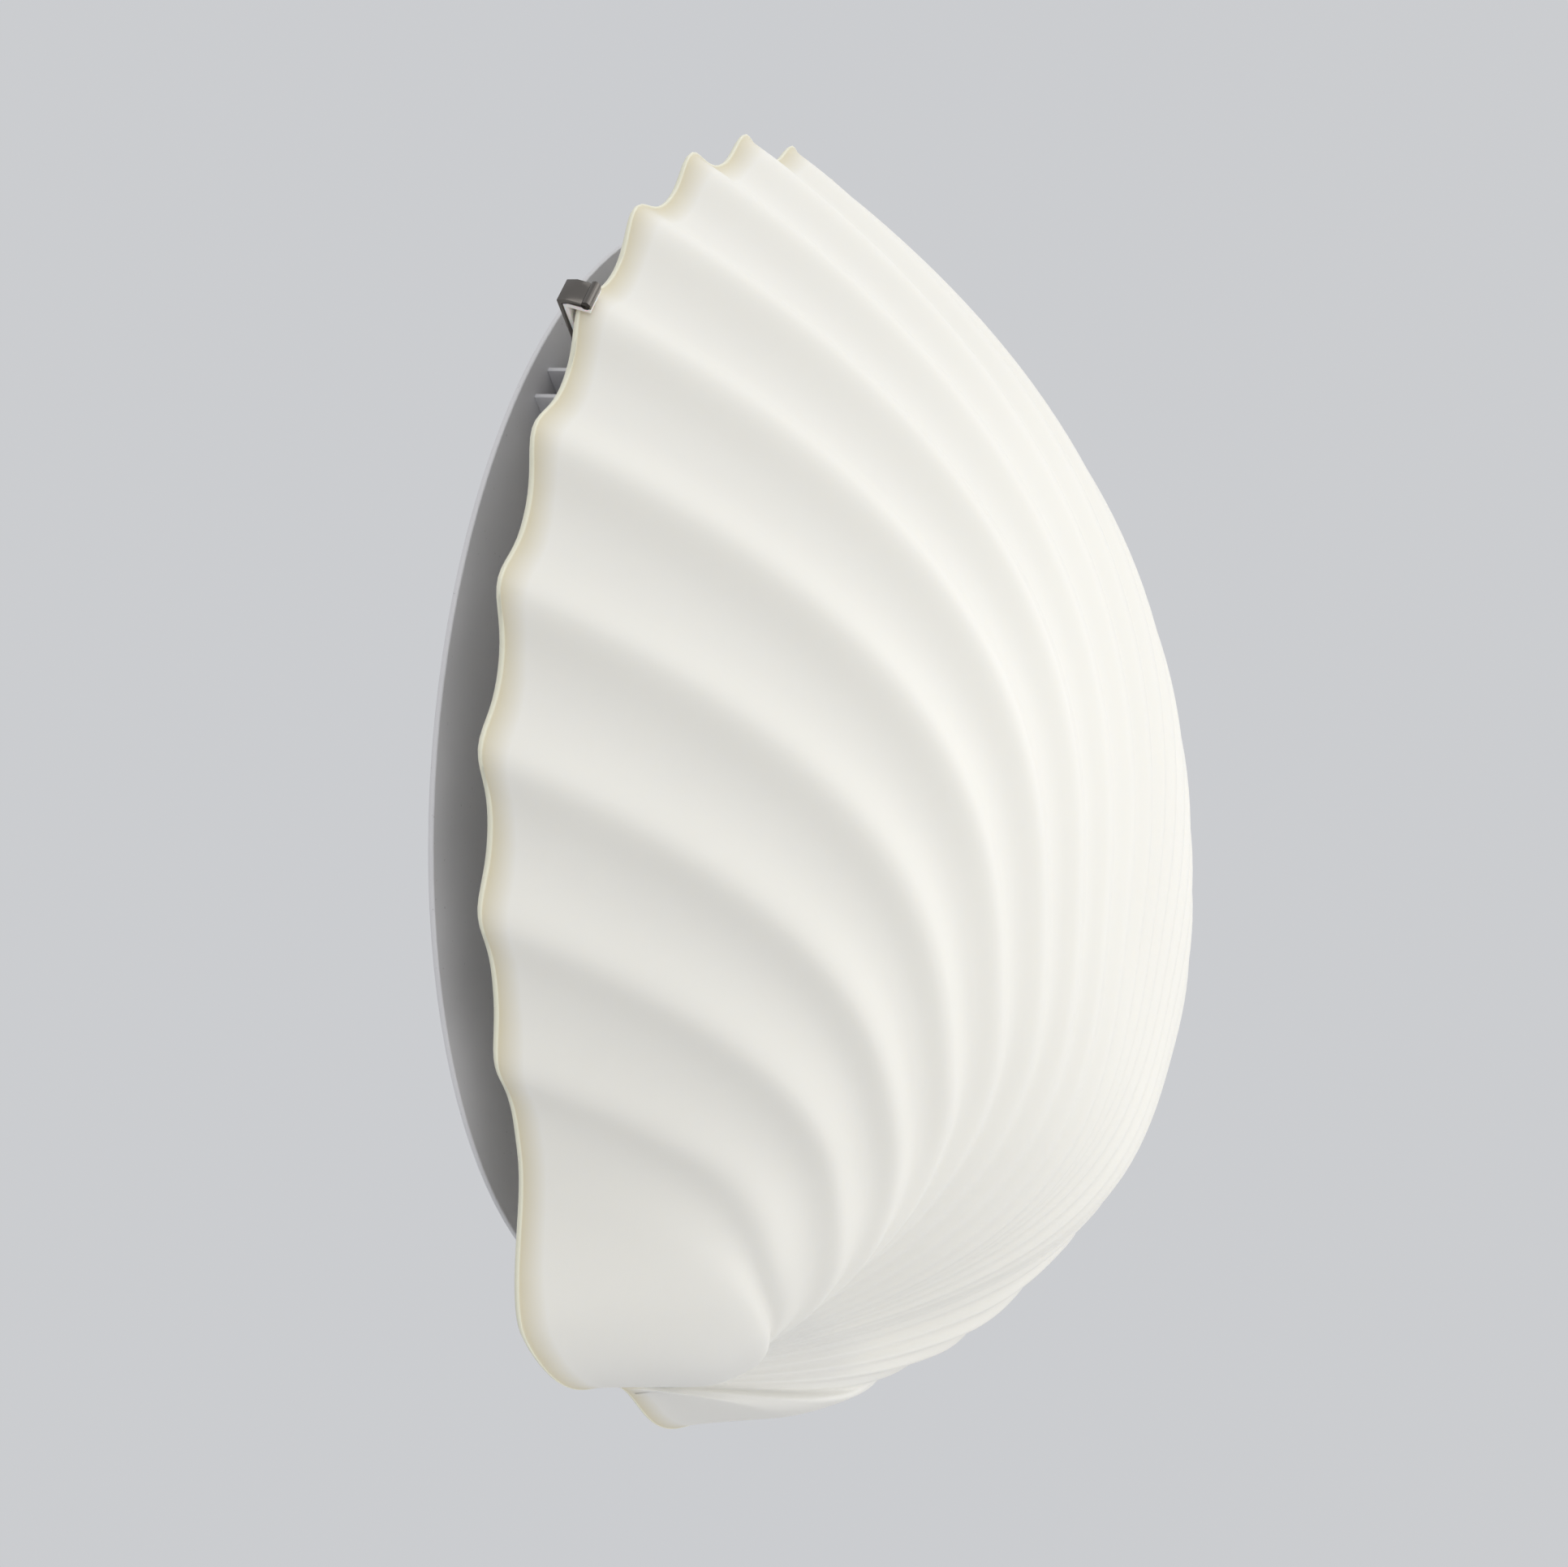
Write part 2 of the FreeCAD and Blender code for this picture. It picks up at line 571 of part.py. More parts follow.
def make_spring_and_pin(frame, reach):
    """The torsion spring on the pin's longer end, and the pin with a head at each end.

    One leg of the spring stands on the plate; the other passes behind the arm's strip and
    presses it off the wall. Places are counted from the pivot, Z along the pin.
    """
    wire, pin, gap = size("spring_wire"), size("pin_radius"), size("spring_gap")
    radius = pin + size("spring_clear") + wire
    rise = (2 * wire + gap) / (2 * math.pi)            # climb for each radian of a turn
    slope = math.hypot(radius, rise)
    foot_leg = PIVOT_OUT - size("sheet_thick") - wire - size("pin_gap")
    low = reach + size("spring_clear") + wire + foot_leg * rise / slope

    def place(turn):
        return Vector(radius * math.cos(turn), radius * math.sin(turn), low + rise * turn)

    def heading(turn):
        return Vector(-radius * math.sin(turn), radius * math.cos(turn), rise) * (1 / slope)

    # the upper leg touches the back of the strip just past the ears
    eye = pin + size("pin_gap") + size("eye_wall")
    seat_along, seat_out = grip_spine(CLIP_ANGLE)[0]
    lean = (seat_out - PIVOT_OUT - eye) / (seat_along - PIVOT_ALONG)
    across = size("bracket_depth") / 2 + size("spring_overhang")
    up = eye + lean * across - (size("strip_thick") + wire) * math.hypot(1, lean) - size("pin_gap")
    tilt = math.atan2(up, across) + math.asin(radius / math.hypot(across, up))
    last = 2 * math.pi * size("spring_turns") + tilt - math.pi / 2
    leg = math.sqrt(across ** 2 + up ** 2 - radius ** 2) * slope / radius
    bend = 3 * wire
    corner = place(last) + heading(last) * leg
    finish = Vector(corner.x, corner.y, -size("hook_width") / 4)

    edges = [Part.LineSegment(place(0) - heading(0) * foot_leg, place(0)).toShape()]
    quarters = math.ceil(last / (math.pi / 2))
    for i in range(quarters):
        one, two = last * i / quarters, last * (i + 1) / quarters
        edges += biarc(place(one), heading(one), place(two), heading(two))
    enter = corner - heading(last) * bend
    leave = corner + Vector(0, 0, -bend)
    edges.append(Part.LineSegment(place(last), enter).toShape())
    edges.append(corner_arc(enter, corner, leave))
    edges.append(Part.LineSegment(leave, finish).toShape())
    ring = Part.Wire([Part.makeCircle(wire, place(0) - heading(0) * foot_leg, heading(0))])
    spring = doc.addObject("Part::Feature", "clip_spring_wound")
    spring.Shape = Part.Wire(edges).makePipeShell([ring], True, False)
    pivot = frame.multiply(Placement(Vector(PIVOT_ALONG, PIVOT_OUT, 0), Rotation()))
    spring.Placement = pivot
    print(f"clip_spring: least gap between turns {least_gap(place, 0, last, wire):.2f} mm")
    keep("clip_spring", spring)

    head, thick = pin + size("pin_head"), size("pin_head_thick")
    far = place(last).z + wire + size("spring_clear")
    pin_body = turned("clip_pin_turned", [
        (0, -reach - thick), (head, -reach - thick), (head, -reach), (pin, -reach),
        (pin, far), (head, far), (head, far + thick), (0, far + thick)])
    pin_body.Placement = pivot
    keep("clip_pin", pin_body)


# ---------------------------------------------------------------- lamp bracket and lampholder
def bracket_foot_middle():
    """Height of the bracket's two bolts."""
    return size("shelf_level") + size("bracket_foot") / 2 + 2


def make_lamp_bracket():
    """An angle of folded sheet: a foot on the pan and a shelf under the lampholder."""
    face = size("pan_rise") + size("sheet_thick")
    thick = size("bracket_sheet")
    level = size("shelf_level")
    outline = [(face, level + size("bracket_foot")), (face, level), (size("shelf_out"), level),
               (size("shelf_out"), level + thick), (face + thick, level + thick),
               (face + thick, level + size("bracket_foot"))]
    body = padded("bracket_fold", outline, "S.bracket_wide")
    # the outline is drawn with X into the room and Y up
    turn = Rotation(Vector(0, -1, 0), Vector(0, 0, 1), Vector(-1, 0, 0), "XYZ")
    body.Placement = Placement(Vector(0, 0, 0), turn)
    holes = [cylinder("shelf_hole", "S.bolt_radius", "4 * S.bracket_sheet",
                      (0, -size("lamp_out"), level - thick))]
    for side in (-1, 1):
        at = (side * size("bolt_apart") / 2, 0, bracket_foot_middle())
        holes.append(cylinder(f"foot_hole_{side}", "S.bolt_radius + 0.1", "S.shelf_out", at, (0, -1, 0)))
    keep("lamp_bracket", cut("bracket_drilled", body, holes))


def make_bolt(name, at, grip, toward=(0, -1, 0)):
    """A round-headed screw: its shank ends at a point, its head stands beyond the grip."""
    shank, head, rise = size("bolt_radius"), size("bolt_head"), size("bolt_head_rise")
    outline = [(0, 0), (shank, 0), (shank, grip), (head, grip), (head * 0.92, grip + rise * 0.5),
               (head * 0.6, grip + rise * 0.9), (0, grip + rise)]
    bolt = turned(name, outline)
    bolt.Placement = Placement(Vector(*at), Rotation(Vector(0, 0, 1), Vector(*toward)))
    return bolt


def make_nut(name, at, toward=(0, -1, 0)):
    """A hexagon nut with a plain bore that takes the screw's shank."""
    corner = size("nut_across") / math.sqrt(3)
    turns = [math.radians(60 * i) for i in range(6)]
    points = [(corner * math.cos(turn), corner * math.sin(turn)) for turn in turns]
    blank = padded(name + "_blank", points, "S.nut_thick")
    bore = cylinder(name + "_bore", "S.bolt_radius", "3 * S.nut_thick", (0, 0, -1.5 * size("nut_thick")))
    nut = cut(name, blank, [bore])
    middle = Vector(*at) + Vector(*toward) * (size("nut_thick") / 2)
    nut.Placement = Placement(middle, Rotation(Vector(0, 0, 1), Vector(*toward)))
    return nut


def make_bracket_fixings():
    """The two screws that hold the bracket on the pan, and the nuts behind it."""
    back = size("pan_rise") - size("nut_thick")
    grip = size("nut_thick") + size("sheet_thick") + size("bracket_sheet")
    spots = [side * size("bolt_apart") / 2 for side in (-1, 1)]
    level = bracket_foot_middle()
    keep("bracket_screws", group("bracket_screw_pair", [
        make_bolt(f"bracket_screw_{i}", (x, -back, level), grip) for i, x in enumerate(spots)]))
    keep("bracket_nuts", group("bracket_nut_pair", [
        make_nut(f"bracket_nut_{i}", (x, -back, level)) for i, x in enumerate(spots)]))


def standing(name, points, lift=0.0):
    """A turned piece on the lamp's axis, its heights counted from the shelf's top."""
    body = turned(name, points)
    body.Placement = Placement(Vector(0, -size("lamp_out"), shelf_top() + lift), Rotation())
    return body


def shelf_top():
    """Height of the shelf's upper face."""
    return size("shelf_level") + size("bracket_sheet")


def sleeve_bore():
    """Radius inside the sleeve, which the lamp's cap screws into."""
    return size("cap_radius") + size("thread_gap")


def insert_radius():
    """Radius of the insert's flange, which carries the sleeve and fills the cup."""
    return sleeve_bore() + size("sleeve_wall") + size("insert_flange")


def cup_radius():
    """Outer radius of the lampholder's cup and skirt."""
    return insert_radius() + size("insert_gap") + size("base_wall")


def make_lampholder():
    """The lampholder: base cup, insert, threaded sleeve, contacts, skirt, ring and screw."""
    radius, height = cup_radius(), size("base_height")
    wall, floor = size("base_wall"), size("base_floor")
    bolt = size("bolt_radius") + 0.1
    step = wall / 2
    cup = standing("holder_cup", [(bolt, 0), (radius, 0), (radius, height - 3), (radius - step, height - 3),
                                  (radius - step, height), (radius - wall, height), (radius - wall, floor),
                                  (bolt, floor)])
    slots = []
    for side in (-1, 1):
        at = (side * (radius - 1) - 2.5, -size("lamp_out") - 2, shelf_top() + floor + 1.5)
        slots.append(box(f"lead_slot_{side}", "5", "4", "4", at))
    keep("holder_base", cut("holder_cup_slotted", cup, slots))

    flange = insert_radius()
    waist = size("cap_radius")
    insert_top = floor + size("insert_height") + 2.8
    keep("holder_insert", standing("holder_insert_turned", [
        (bolt + 3, floor), (waist, floor), (waist, insert_top - 3), (flange, insert_top - 3),
        (flange, insert_top), (0, insert_top), (0, insert_top - 2), (bolt + 3, insert_top - 2)]))
    bore = sleeve_bore()
    keep("holder_sleeve", standing("holder_sleeve_turned", [
        (bore, insert_top), (bore + size("sleeve_wall"), insert_top),
        (bore + size("sleeve_wall"), insert_top + size("sleeve_height")),
        (bore, insert_top + size("sleeve_height"))]))
    contact_top = insert_top + 1.4
    keep("holder_contact", standing("holder_contact_turned", [
        (0, insert_top), (3.4, insert_top), (3.4, insert_top + 0.6), (1.8, contact_top), (0, contact_top)]))

    foot = height - 3
    top = height + size("skirt_height")
    inner = bore + size("sleeve_wall") + 0.4
    keep("holder_skirt", standing("holder_skirt_turned", [
        (radius - step, foot), (radius, foot), (radius, top), (inner, top), (inner, height + 0.4),
        (radius - wall - 0.1, height), (radius - step, height)]))
    level = size("ring_level")
    outer = radius + size("ring_flange")
    keep("holder_ring", standing("holder_ring_turned", [
        (radius + 0.05, level), (outer, level), (outer, level + 1.4), (radius + 2, level + 2.2),
        (radius + 2, level + size("ring_thick")), (radius + 0.05, level + size("ring_thick"))]))
    screw_grip = size("bracket_sheet") + floor
    screw = make_bolt("holder_screw_turned", (0, -size("lamp_out"), size("shelf_level") - 1),
                      screw_grip + 1, (0, 0, 1))
    keep("holder_screw", screw)
    return contact_top


# ---------------------------------------------------------------- lamp
def make_lamp(contact_top):
    """The lamp: cap with its tip and insulator, glass envelope, stem and filament."""
    start = contact_top + size("contact_gap")
    tip, tip_rise = size("tip_radius"), size("tip_height")
    cap, cap_height, rise = size("cap_radius"), size("cap_height"), size("insulator_height")
    keep("lamp_contact", standing("lamp_tip_turned", [(0, 0), (tip * 0.6, 0), (tip, tip_rise),
                                                      (0, tip_rise)], start))
    keep("lamp_insulator", standing("lamp_insulator_turned", [
        (0, tip_rise), (tip, tip_rise), (cap - 2, tip_rise + rise), (0, tip_rise + rise)], start))
    foot = tip_rise + rise
    top = foot + cap_height
    keep("lamp_cap", standing("lamp_cap_turned", [
        (0, foot), (cap - 2, foot), (cap, foot + 2), (cap, top), (cap + 1, top + 3),
        (cap + 0.6, top + 3), (cap - 0.4, top), (cap - 0.4, foot + 2.4), (0, foot + 0.6)], start))
    make_envelope(start, top)


def make_envelope(start, cap_top):
    """The pear-shaped glass: a neck, a swelling curve and a round crown, drawn with arcs."""
    wall, big = size("lamp_wall"), size("lamp_radius")
    neck = size("cap_radius") - 0.7
    crown = size("lamp_length")
    middle = crown - big
    foot = cap_top - 4
    shoulder = cap_top + 10

    def envelope(name, shrink):
        body = doc.addObject("PartDesign::Body", name)
        drawing = sketch_on(body, "XZ_Plane", name + "_section")
        low = foot + shrink
        a = Vector(0, low, 0)
        b = Vector(neck - shrink, low, 0)
        c = Vector(neck - shrink, shoulder, 0)
        d = Vector(big - shrink, middle, 0)
        e = Vector(0, crown - shrink, 0)
        bow = Vector((c.x + d.x) / 2 - 1.2, (c.y + d.y) / 2 + 2.2, 0)
        side = math.sqrt(0.5) * (big - shrink)
        parts = [Part.LineSegment(a, b), Part.LineSegment(b, c), Part.Arc(c, bow, d),
                 Part.Arc(d, Vector(side, middle + side, 0), e), Part.LineSegment(e, a)]
        for part in parts:
            drawing.addGeometry(part, False)
        for i in range(len(parts)):
            follower = (i + 1) % len(parts)
            drawing.addConstraint(Sketcher.Constraint("Coincident", i, end_of(i), follower, start_of(follower)))
        spin = body.newObject("PartDesign::Revolution", name + "_turn")
        spin.Profile = drawing
        spin.ReferenceAxis = (drawing, ["V_Axis"])
        spin.Angle = 360
        return body

    def end_of(index):
        return 1 if index == 2 else 2

    def start_of(index):
        return 2 if index == 2 else 1

    whole = cut("envelope_hollow", envelope("envelope_outer", 0.0), [envelope("envelope_inner", wall)])
    whole.Placement = Placement(Vector(0, -size("lamp_out"), shelf_top() + start), Rotation())
    keep("lamp_glass", whole)
    stem_foot = foot + wall
    stem_top = middle - 12
    keep("lamp_stem", standing("lamp_stem_turned", [
        (0, stem_foot), (neck - wall - 3, stem_foot), (3.2, stem_foot + 12), (2.4, stem_top), (0, stem_top + 2)],
        start))
    bar = Part.makeTorus(9.0, 0.35, Vector(0, 0, stem_top + 12), Vector(0, 0, 1), 0, 360, 360)
    filament = bar
    for side in (-1, 1):
        top_end = Vector(side * 9.0, 0, stem_top + 12)
        bottom_end = Vector(side * 1.2, 0, stem_top - 1)
        run = top_end - bottom_end
        filament = filament.fuse(Part.makeCylinder(0.35, run.Length, bottom_end, run))
    wires = doc.addObject("Part::Feature", "filament_wires")
    wires.Shape = filament
    wires.Placement = Placement(Vector(0, -size("lamp_out"), shelf_top() + start), Rotation())
    keep("lamp_filament", wires)


# ---------------------------------------------------------------- terminals and leads
def block_middle_x():
    """Middle of the terminal block across the plate."""
    return size("block_side")


def block_screw_level():
    """Height of the screw that holds the block, between two of its poles."""
    return size("block_level") + size("pole_pitch") / 2


def pole_places():
    """Heights of the three poles of the terminal block."""
    return [size("block_level") + k * size("pole_pitch") for k in (-1, 0, 1)]


def make_terminal_block():
    """A three-pole block on the pan, its clamp screws and the screw that holds it."""
    face = size("pan_rise") + size("sheet_thick")
    length, depth, rise = size("block_length"), size("block_depth"), size("block_rise")
    x, level = block_middle_x(), size("block_level")
    blank = box("block_blank", "S.block_depth", "S.block_rise", "S.block_length",
                (x - depth / 2, -face - rise, level - length / 2))
    bores = [cylinder(f"pole_bore_{i}", "S.pole_bore", "S.block_depth + 4",
                      (x - depth / 2 - 2, -face - rise / 2, z), (1, 0, 0)) for i, z in enumerate(pole_places())]
    wells = []
    clamps = []
    for i, z in enumerate(pole_places()):
        for j, side in enumerate((-1, 1)):
            at = (x + side * depth / 4, -face - rise, z)
            wells.append(cylinder(f"clamp_well_{i}_{j}", "S.clamp_radius", "S.block_rise / 2",
                                  at, (0, 1, 0)))
            spot = (at[0], at[1] - size("clamp_rise"), z)
            clamps.append(cylinder(f"clamp_screw_{i}_{j}", "S.clamp_radius - 0.05",
                                   "S.clamp_rise + S.block_rise / 2 - S.lead_radius", spot, (0, 1, 0)))
    gap_level = block_screw_level()
    through = cylinder("block_through", "S.bolt_radius", "2 * S.block_rise", (x, 0, gap_level), (0, -1, 0))
    keep("terminal_block", cut("block_drilled", blank, bores + wells + [through]))
    keep("terminal_clamp_screws", group("clamp_screws", clamps))
    fixing = make_bolt("block_screw", (x, -size("pan_rise") + size("nut_thick"), gap_level),
                       size("sheet_thick") + rise + size("nut_thick"))
    keep("terminal_fixing_screw", fixing)
    keep("terminal_nut", make_nut("block_nut", (x, -size("pan_rise") + size("nut_thick"), gap_level)))


def make_earth():
    """The earth tag on the pan with its screw and nut."""
    face = size("pan_rise") + size("sheet_thick")
    x, level, wide = size("tag_side"), size("tag_level"), size("tag_wide")
    plate = box("tag_plate", "S.tag_wide", "S.strip_thick", "S.tag_wide + S.strip_thick",
                (x - wide / 2, -face - size("strip_thick"), level - wide / 2))
    barrel = cylinder("tag_barrel", "S.lead_radius + 0.7", "S.tag_wide",
                      (x, -face - 0.7 - size("lead_radius"), level + wide / 2), (0, 0, 1))
    hole = cylinder("tag_bore", "S.bolt_radius + 0.1", "S.shelf_out", (x, 0, level), (0, -1, 0))
    socket = cylinder("tag_socket", "S.lead_radius", "S.tag_wide",
                      (x, -face - 0.7 - size("lead_radius"), level + wide / 2 + 2), (0, 0, 1))
    keep("earth_tag", cut("tag_whole", fused("tag_blank", [plate, barrel]), [hole, socket]))
    back = size("pan_rise") - size("nut_thick")
    grip = size("nut_thick") + size("sheet_thick") + size("strip_thick")
    keep("earth_screw", make_bolt("earth_screw_turned", (x, -back, level), grip))
    keep("earth_nut", make_nut("earth_nut_cut", (x, -back, level)))


def lead_path(points):
    """Straight runs through points joined by the largest tangent arcs that fit."""
    corners = [Vector(*p) for p in points]
    edges = []
    here = corners[0]
    for before, corner, after in zip(corners, corners[1:], corners[2:]):
        back = 0.45 * min((before - corner).Length, (after - corner).Length)
        start = corner + (before - corner).normalize() * back
        finish = corner + (after - corner).normalize() * back
        edges.append(Part.LineSegment(here, start).toShape())
        edges.append(corner_arc(start, corner, finish))
        here = finish
    edges.append(Part.LineSegment(here, corners[-1]).toShape())
    return Part.Wire(edges)


def make_lead(name, points):
    """An insulated lead of round section along a path, held at both ends."""
    path = lead_path(points)
    first = Vector(*points[1]) - Vector(*points[0])
    ring = Part.Wire([Part.makeCircle(size("lead_radius"), Vector(*points[0]), first)])
    solid = path.makePipeShell([ring], True, True)
    expected = math.pi * size("lead_radius") ** 2 * path.Length
    radii = [edge.Curve.Radius for edge in path.Edges if isinstance(edge.Curve, Part.Circle)]
    print(f"{name}: length {path.Length:.0f} mm, volume {solid.Volume / expected:.3f} of section times length, "
          f"radii {', '.join(f'{r:.0f}' for r in radii)} mm")
    lead = doc.addObject("Part::Feature", name + "_swept")
    lead.Shape = solid
    keep(name, lead)


def make_leads():
    """Live and neutral from the block to the lampholder, earth from the block to its tag."""
    face = size("pan_rise") + size("sheet_thick")
    pole_y = -face - size("block_rise") / 2
    low, mid, high = pole_places()
    left_side = block_middle_x() - size("block_depth") / 2
    lamp_y = -size("lamp_out")
    slot_z = shelf_top() + size("base_floor") + 3.5
    cup = cup_radius()
    make_lead("live_lead", [
        (left_side + 3, pole_y, low), (left_side - 8, pole_y, low), (left_side - 12, pole_y - 4, low - 12),
        (cup + 12, lamp_y + 14, slot_z + 12), (cup + 8, lamp_y, slot_z), (cup - 3, lamp_y, slot_z)])
    make_lead("neutral_lead", [
        (left_side + 3, pole_y, mid), (left_side - 10, pole_y, mid), (left_side - 26, pole_y - 2, mid + 2),
        (-6, pole_y - 2, mid - 8), (-cup - 10, pole_y - 8, mid - 22), (-cup - 14, lamp_y + 12, slot_z + 14),
        (-cup - 8, lamp_y, slot_z), (-cup + 3, lamp_y, slot_z)])
    tag_x, tag_y = size("tag_side"), -face - 0.7 - size("lead_radius")
    tag_top = size("tag_level") + size("tag_wide") / 2 + 3
    make_lead("earth_lead", [
        (left_side + 3, pole_y, high), (left_side - 10, pole_y, high), (left_side - 24, pole_y - 1, high + 5),
        (0, pole_y - 1, high + 9), (tag_x + 16, pole_y, high + 10), (tag_x + 2, tag_y - 3, high + 5),
        (tag_x, tag_y, tag_top + 7), (tag_x, tag_y, tag_top)])


# ---------------------------------------------------------------- build, check, write
make_plate()
make_grommet()
make_shade()
make_clip()
make_hook("upper_hook", UPPER_ANGLE)
make_hook("lower_hook", LOWER_ANGLE)
make_lamp_bracket()
make_bracket_fixings()
make_lamp(make_lampholder())
make_terminal_block()
make_earth()
make_leads()
doc.recompute()

faults = [thing.Name for thing in doc.Objects if "Invalid" in thing.State or "Error" in thing.State]
for label, piece in PIECES.items():
    if piece.Shape.isNull() or not piece.Shape.isValid() or not piece.Shape.Solids:
        faults.append(label)
if faults:
    raise RuntimeError("failed objects: " + ", ".join(sorted(set(faults))))
for label, piece in PIECES.items():
    piece.Shape.exportStep(f"parts/{label}.step")
    bounds = piece.Shape.BoundBox
    print(f"{label}: {len(piece.Shape.Solids)} solid(s), volume {piece.Shape.Volume:.0f} mm3, "
          f"x {bounds.XMin:.1f}..{bounds.XMax:.1f} y {bounds.YMin:.1f}..{bounds.YMax:.1f} "
          f"z {bounds.ZMin:.1f}..{bounds.ZMax:.1f}")
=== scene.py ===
"""Looks of a shell wall sconce: a ribbed opal glass shade on a round enamelled plate.

The row frame is in metres: +Z is up, +X is to the right seen from the room, the wall is the
plane Y = 0 and the room is on the -Y side. The origin is the middle of the plate on the wall.
"""

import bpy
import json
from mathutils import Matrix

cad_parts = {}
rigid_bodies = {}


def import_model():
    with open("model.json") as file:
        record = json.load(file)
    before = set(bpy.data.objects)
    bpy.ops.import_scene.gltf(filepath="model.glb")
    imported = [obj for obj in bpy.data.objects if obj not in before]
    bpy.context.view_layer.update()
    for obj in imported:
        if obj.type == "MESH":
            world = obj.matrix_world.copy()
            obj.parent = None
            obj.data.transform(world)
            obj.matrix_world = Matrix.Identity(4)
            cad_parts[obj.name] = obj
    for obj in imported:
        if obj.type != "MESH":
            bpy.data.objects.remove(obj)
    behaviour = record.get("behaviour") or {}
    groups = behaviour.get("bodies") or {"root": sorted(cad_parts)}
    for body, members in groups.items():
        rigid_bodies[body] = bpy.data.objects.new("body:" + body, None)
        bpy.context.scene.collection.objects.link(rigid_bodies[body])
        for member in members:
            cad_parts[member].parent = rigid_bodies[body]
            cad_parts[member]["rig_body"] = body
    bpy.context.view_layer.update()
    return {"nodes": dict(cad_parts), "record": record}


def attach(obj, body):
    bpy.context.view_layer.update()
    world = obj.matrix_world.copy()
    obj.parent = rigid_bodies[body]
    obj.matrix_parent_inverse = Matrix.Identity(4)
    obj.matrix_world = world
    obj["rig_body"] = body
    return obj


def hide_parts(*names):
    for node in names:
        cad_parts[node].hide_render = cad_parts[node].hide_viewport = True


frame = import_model()

import json
import math

import bmesh
import bpy
from bpy.props import FloatProperty, FloatVectorProperty, IntProperty, PointerProperty
from mathutils import Matrix, Vector

bl_info = {
    "name": "Shell Wall Sconce",
    "version": (1, 0, 0),
    "blender": (4, 5, 0),
    "location": "3D View > Sidebar > Sconce",
    "description": "Builds the finish of a shell-shaped glass wall light piece by piece",
    "category": "Object",
}

MM = 0.001


# ---------------------------------------------------------------- settings
def length(name, description, default):
    """A size in metres that a user may change."""
    return FloatProperty(name=name, description=description, default=default,
                         subtype="DISTANCE", unit="LENGTH", precision=4)


def colour(name, description, default):
    """A colour that a user may change."""
    return FloatVectorProperty(name=name, description=description, default=default,
                               subtype="COLOR", size=3, min=0.0, max=1.0)


def power(name, description, default):
    """The power of a light, in watts, that a user may change."""
    return FloatProperty(name=name, description=description, default=default,
                         subtype="POWER", unit="POWER")


class SconceShadeSizes(bpy.types.PropertyGroup):
    """Sizes of the glass shade, each an input of its node tree."""

    rim_mean: length("Rim radius", "Mean radius of the rim", 136.8 * MM)
    rim_egg: length("Rim egg", "How much higher the rim stands at the top than at the sides", 5.0 * MM)
    rim_out: length("Rim off the wall", "Distance from the wall to the rim", 15.5 * MM)
    heel_lift: length("Heel", "How far the rim swells beside the notch", 5.7 * MM)
    shade_depth: length("Depth", "Depth of the dome off the rim", 100.3 * MM)
    umbo_swell: length("Beak swell", "Fullness of the smooth beak", 7.2 * MM)
    ear_flare: length("Ear flare", "How far the two ears stand out at the rim", 13.5 * MM)
    ear_reach: length("Ear reach", "Depth over which the ears fade into the dome", 48.0 * MM)
    notch_depth: length("Notch", "Depth of the notch between the ears", 8.0 * MM)
    rib_relief: length("Rib relief", "Height from a flute's floor to a rib's crest", 5.2 * MM)
    wall: length("Wall", "Thickness of the glass", 4.0 * MM)
    lip: length("Lip", "How far the fire-polished lip is rounded", 1.6 * MM)


class SconceShadeMesh(bpy.types.PropertyGroup):
    """Counts of the glass shade's mesh."""

    columns: IntProperty(name="Columns", description="Mesh columns round the rim", default=480, min=48)
    rows: IntProperty(name="Rows", description="Mesh rows from the beak to the rim, on each skin",
                      default=94, min=12)
    lip_rows: IntProperty(name="Lip rows", description="Mesh rows round the lip", default=8, min=2)


class SconceRivets(bpy.types.PropertyGroup):
    """Sizes of the rivets, each an input of their node tree."""

    rivet_radius: length("Shank", "Radius of a rivet's shank", 1.6 * MM)
    rivet_head: length("Head", "Radius of a rivet's domed head", 3.0 * MM)
    rivet_rise: length("Rise", "Height of the domed head", 1.2 * MM)
    rivet_grip: length("Grip", "Thickness of the sheets a rivet holds", 2.2 * MM)


class SconceEdges(bpy.types.PropertyGroup):
    """How far edges are rounded."""

    plate_edge: length("Plate edge", "Rounding of the plate's edges", 0.35 * MM)
    grommet_edge: length("Grommet edge", "Rounding of the grommet's edges", 0.3 * MM)
    strip_edge: length("Strip edge", "Rounding of the clip's and hooks' edges", 0.2 * MM)
    bracket_edge: length("Bracket edge", "Rounding of the clip bracket's edges", 0.15 * MM)
    liner_edge: length("Liner edge", "Rounding of the liners' edges", 0.12 * MM)
    lip_roll: length("Lip roll", "Radius of the bead at the end of a strip", 0.9 * MM)


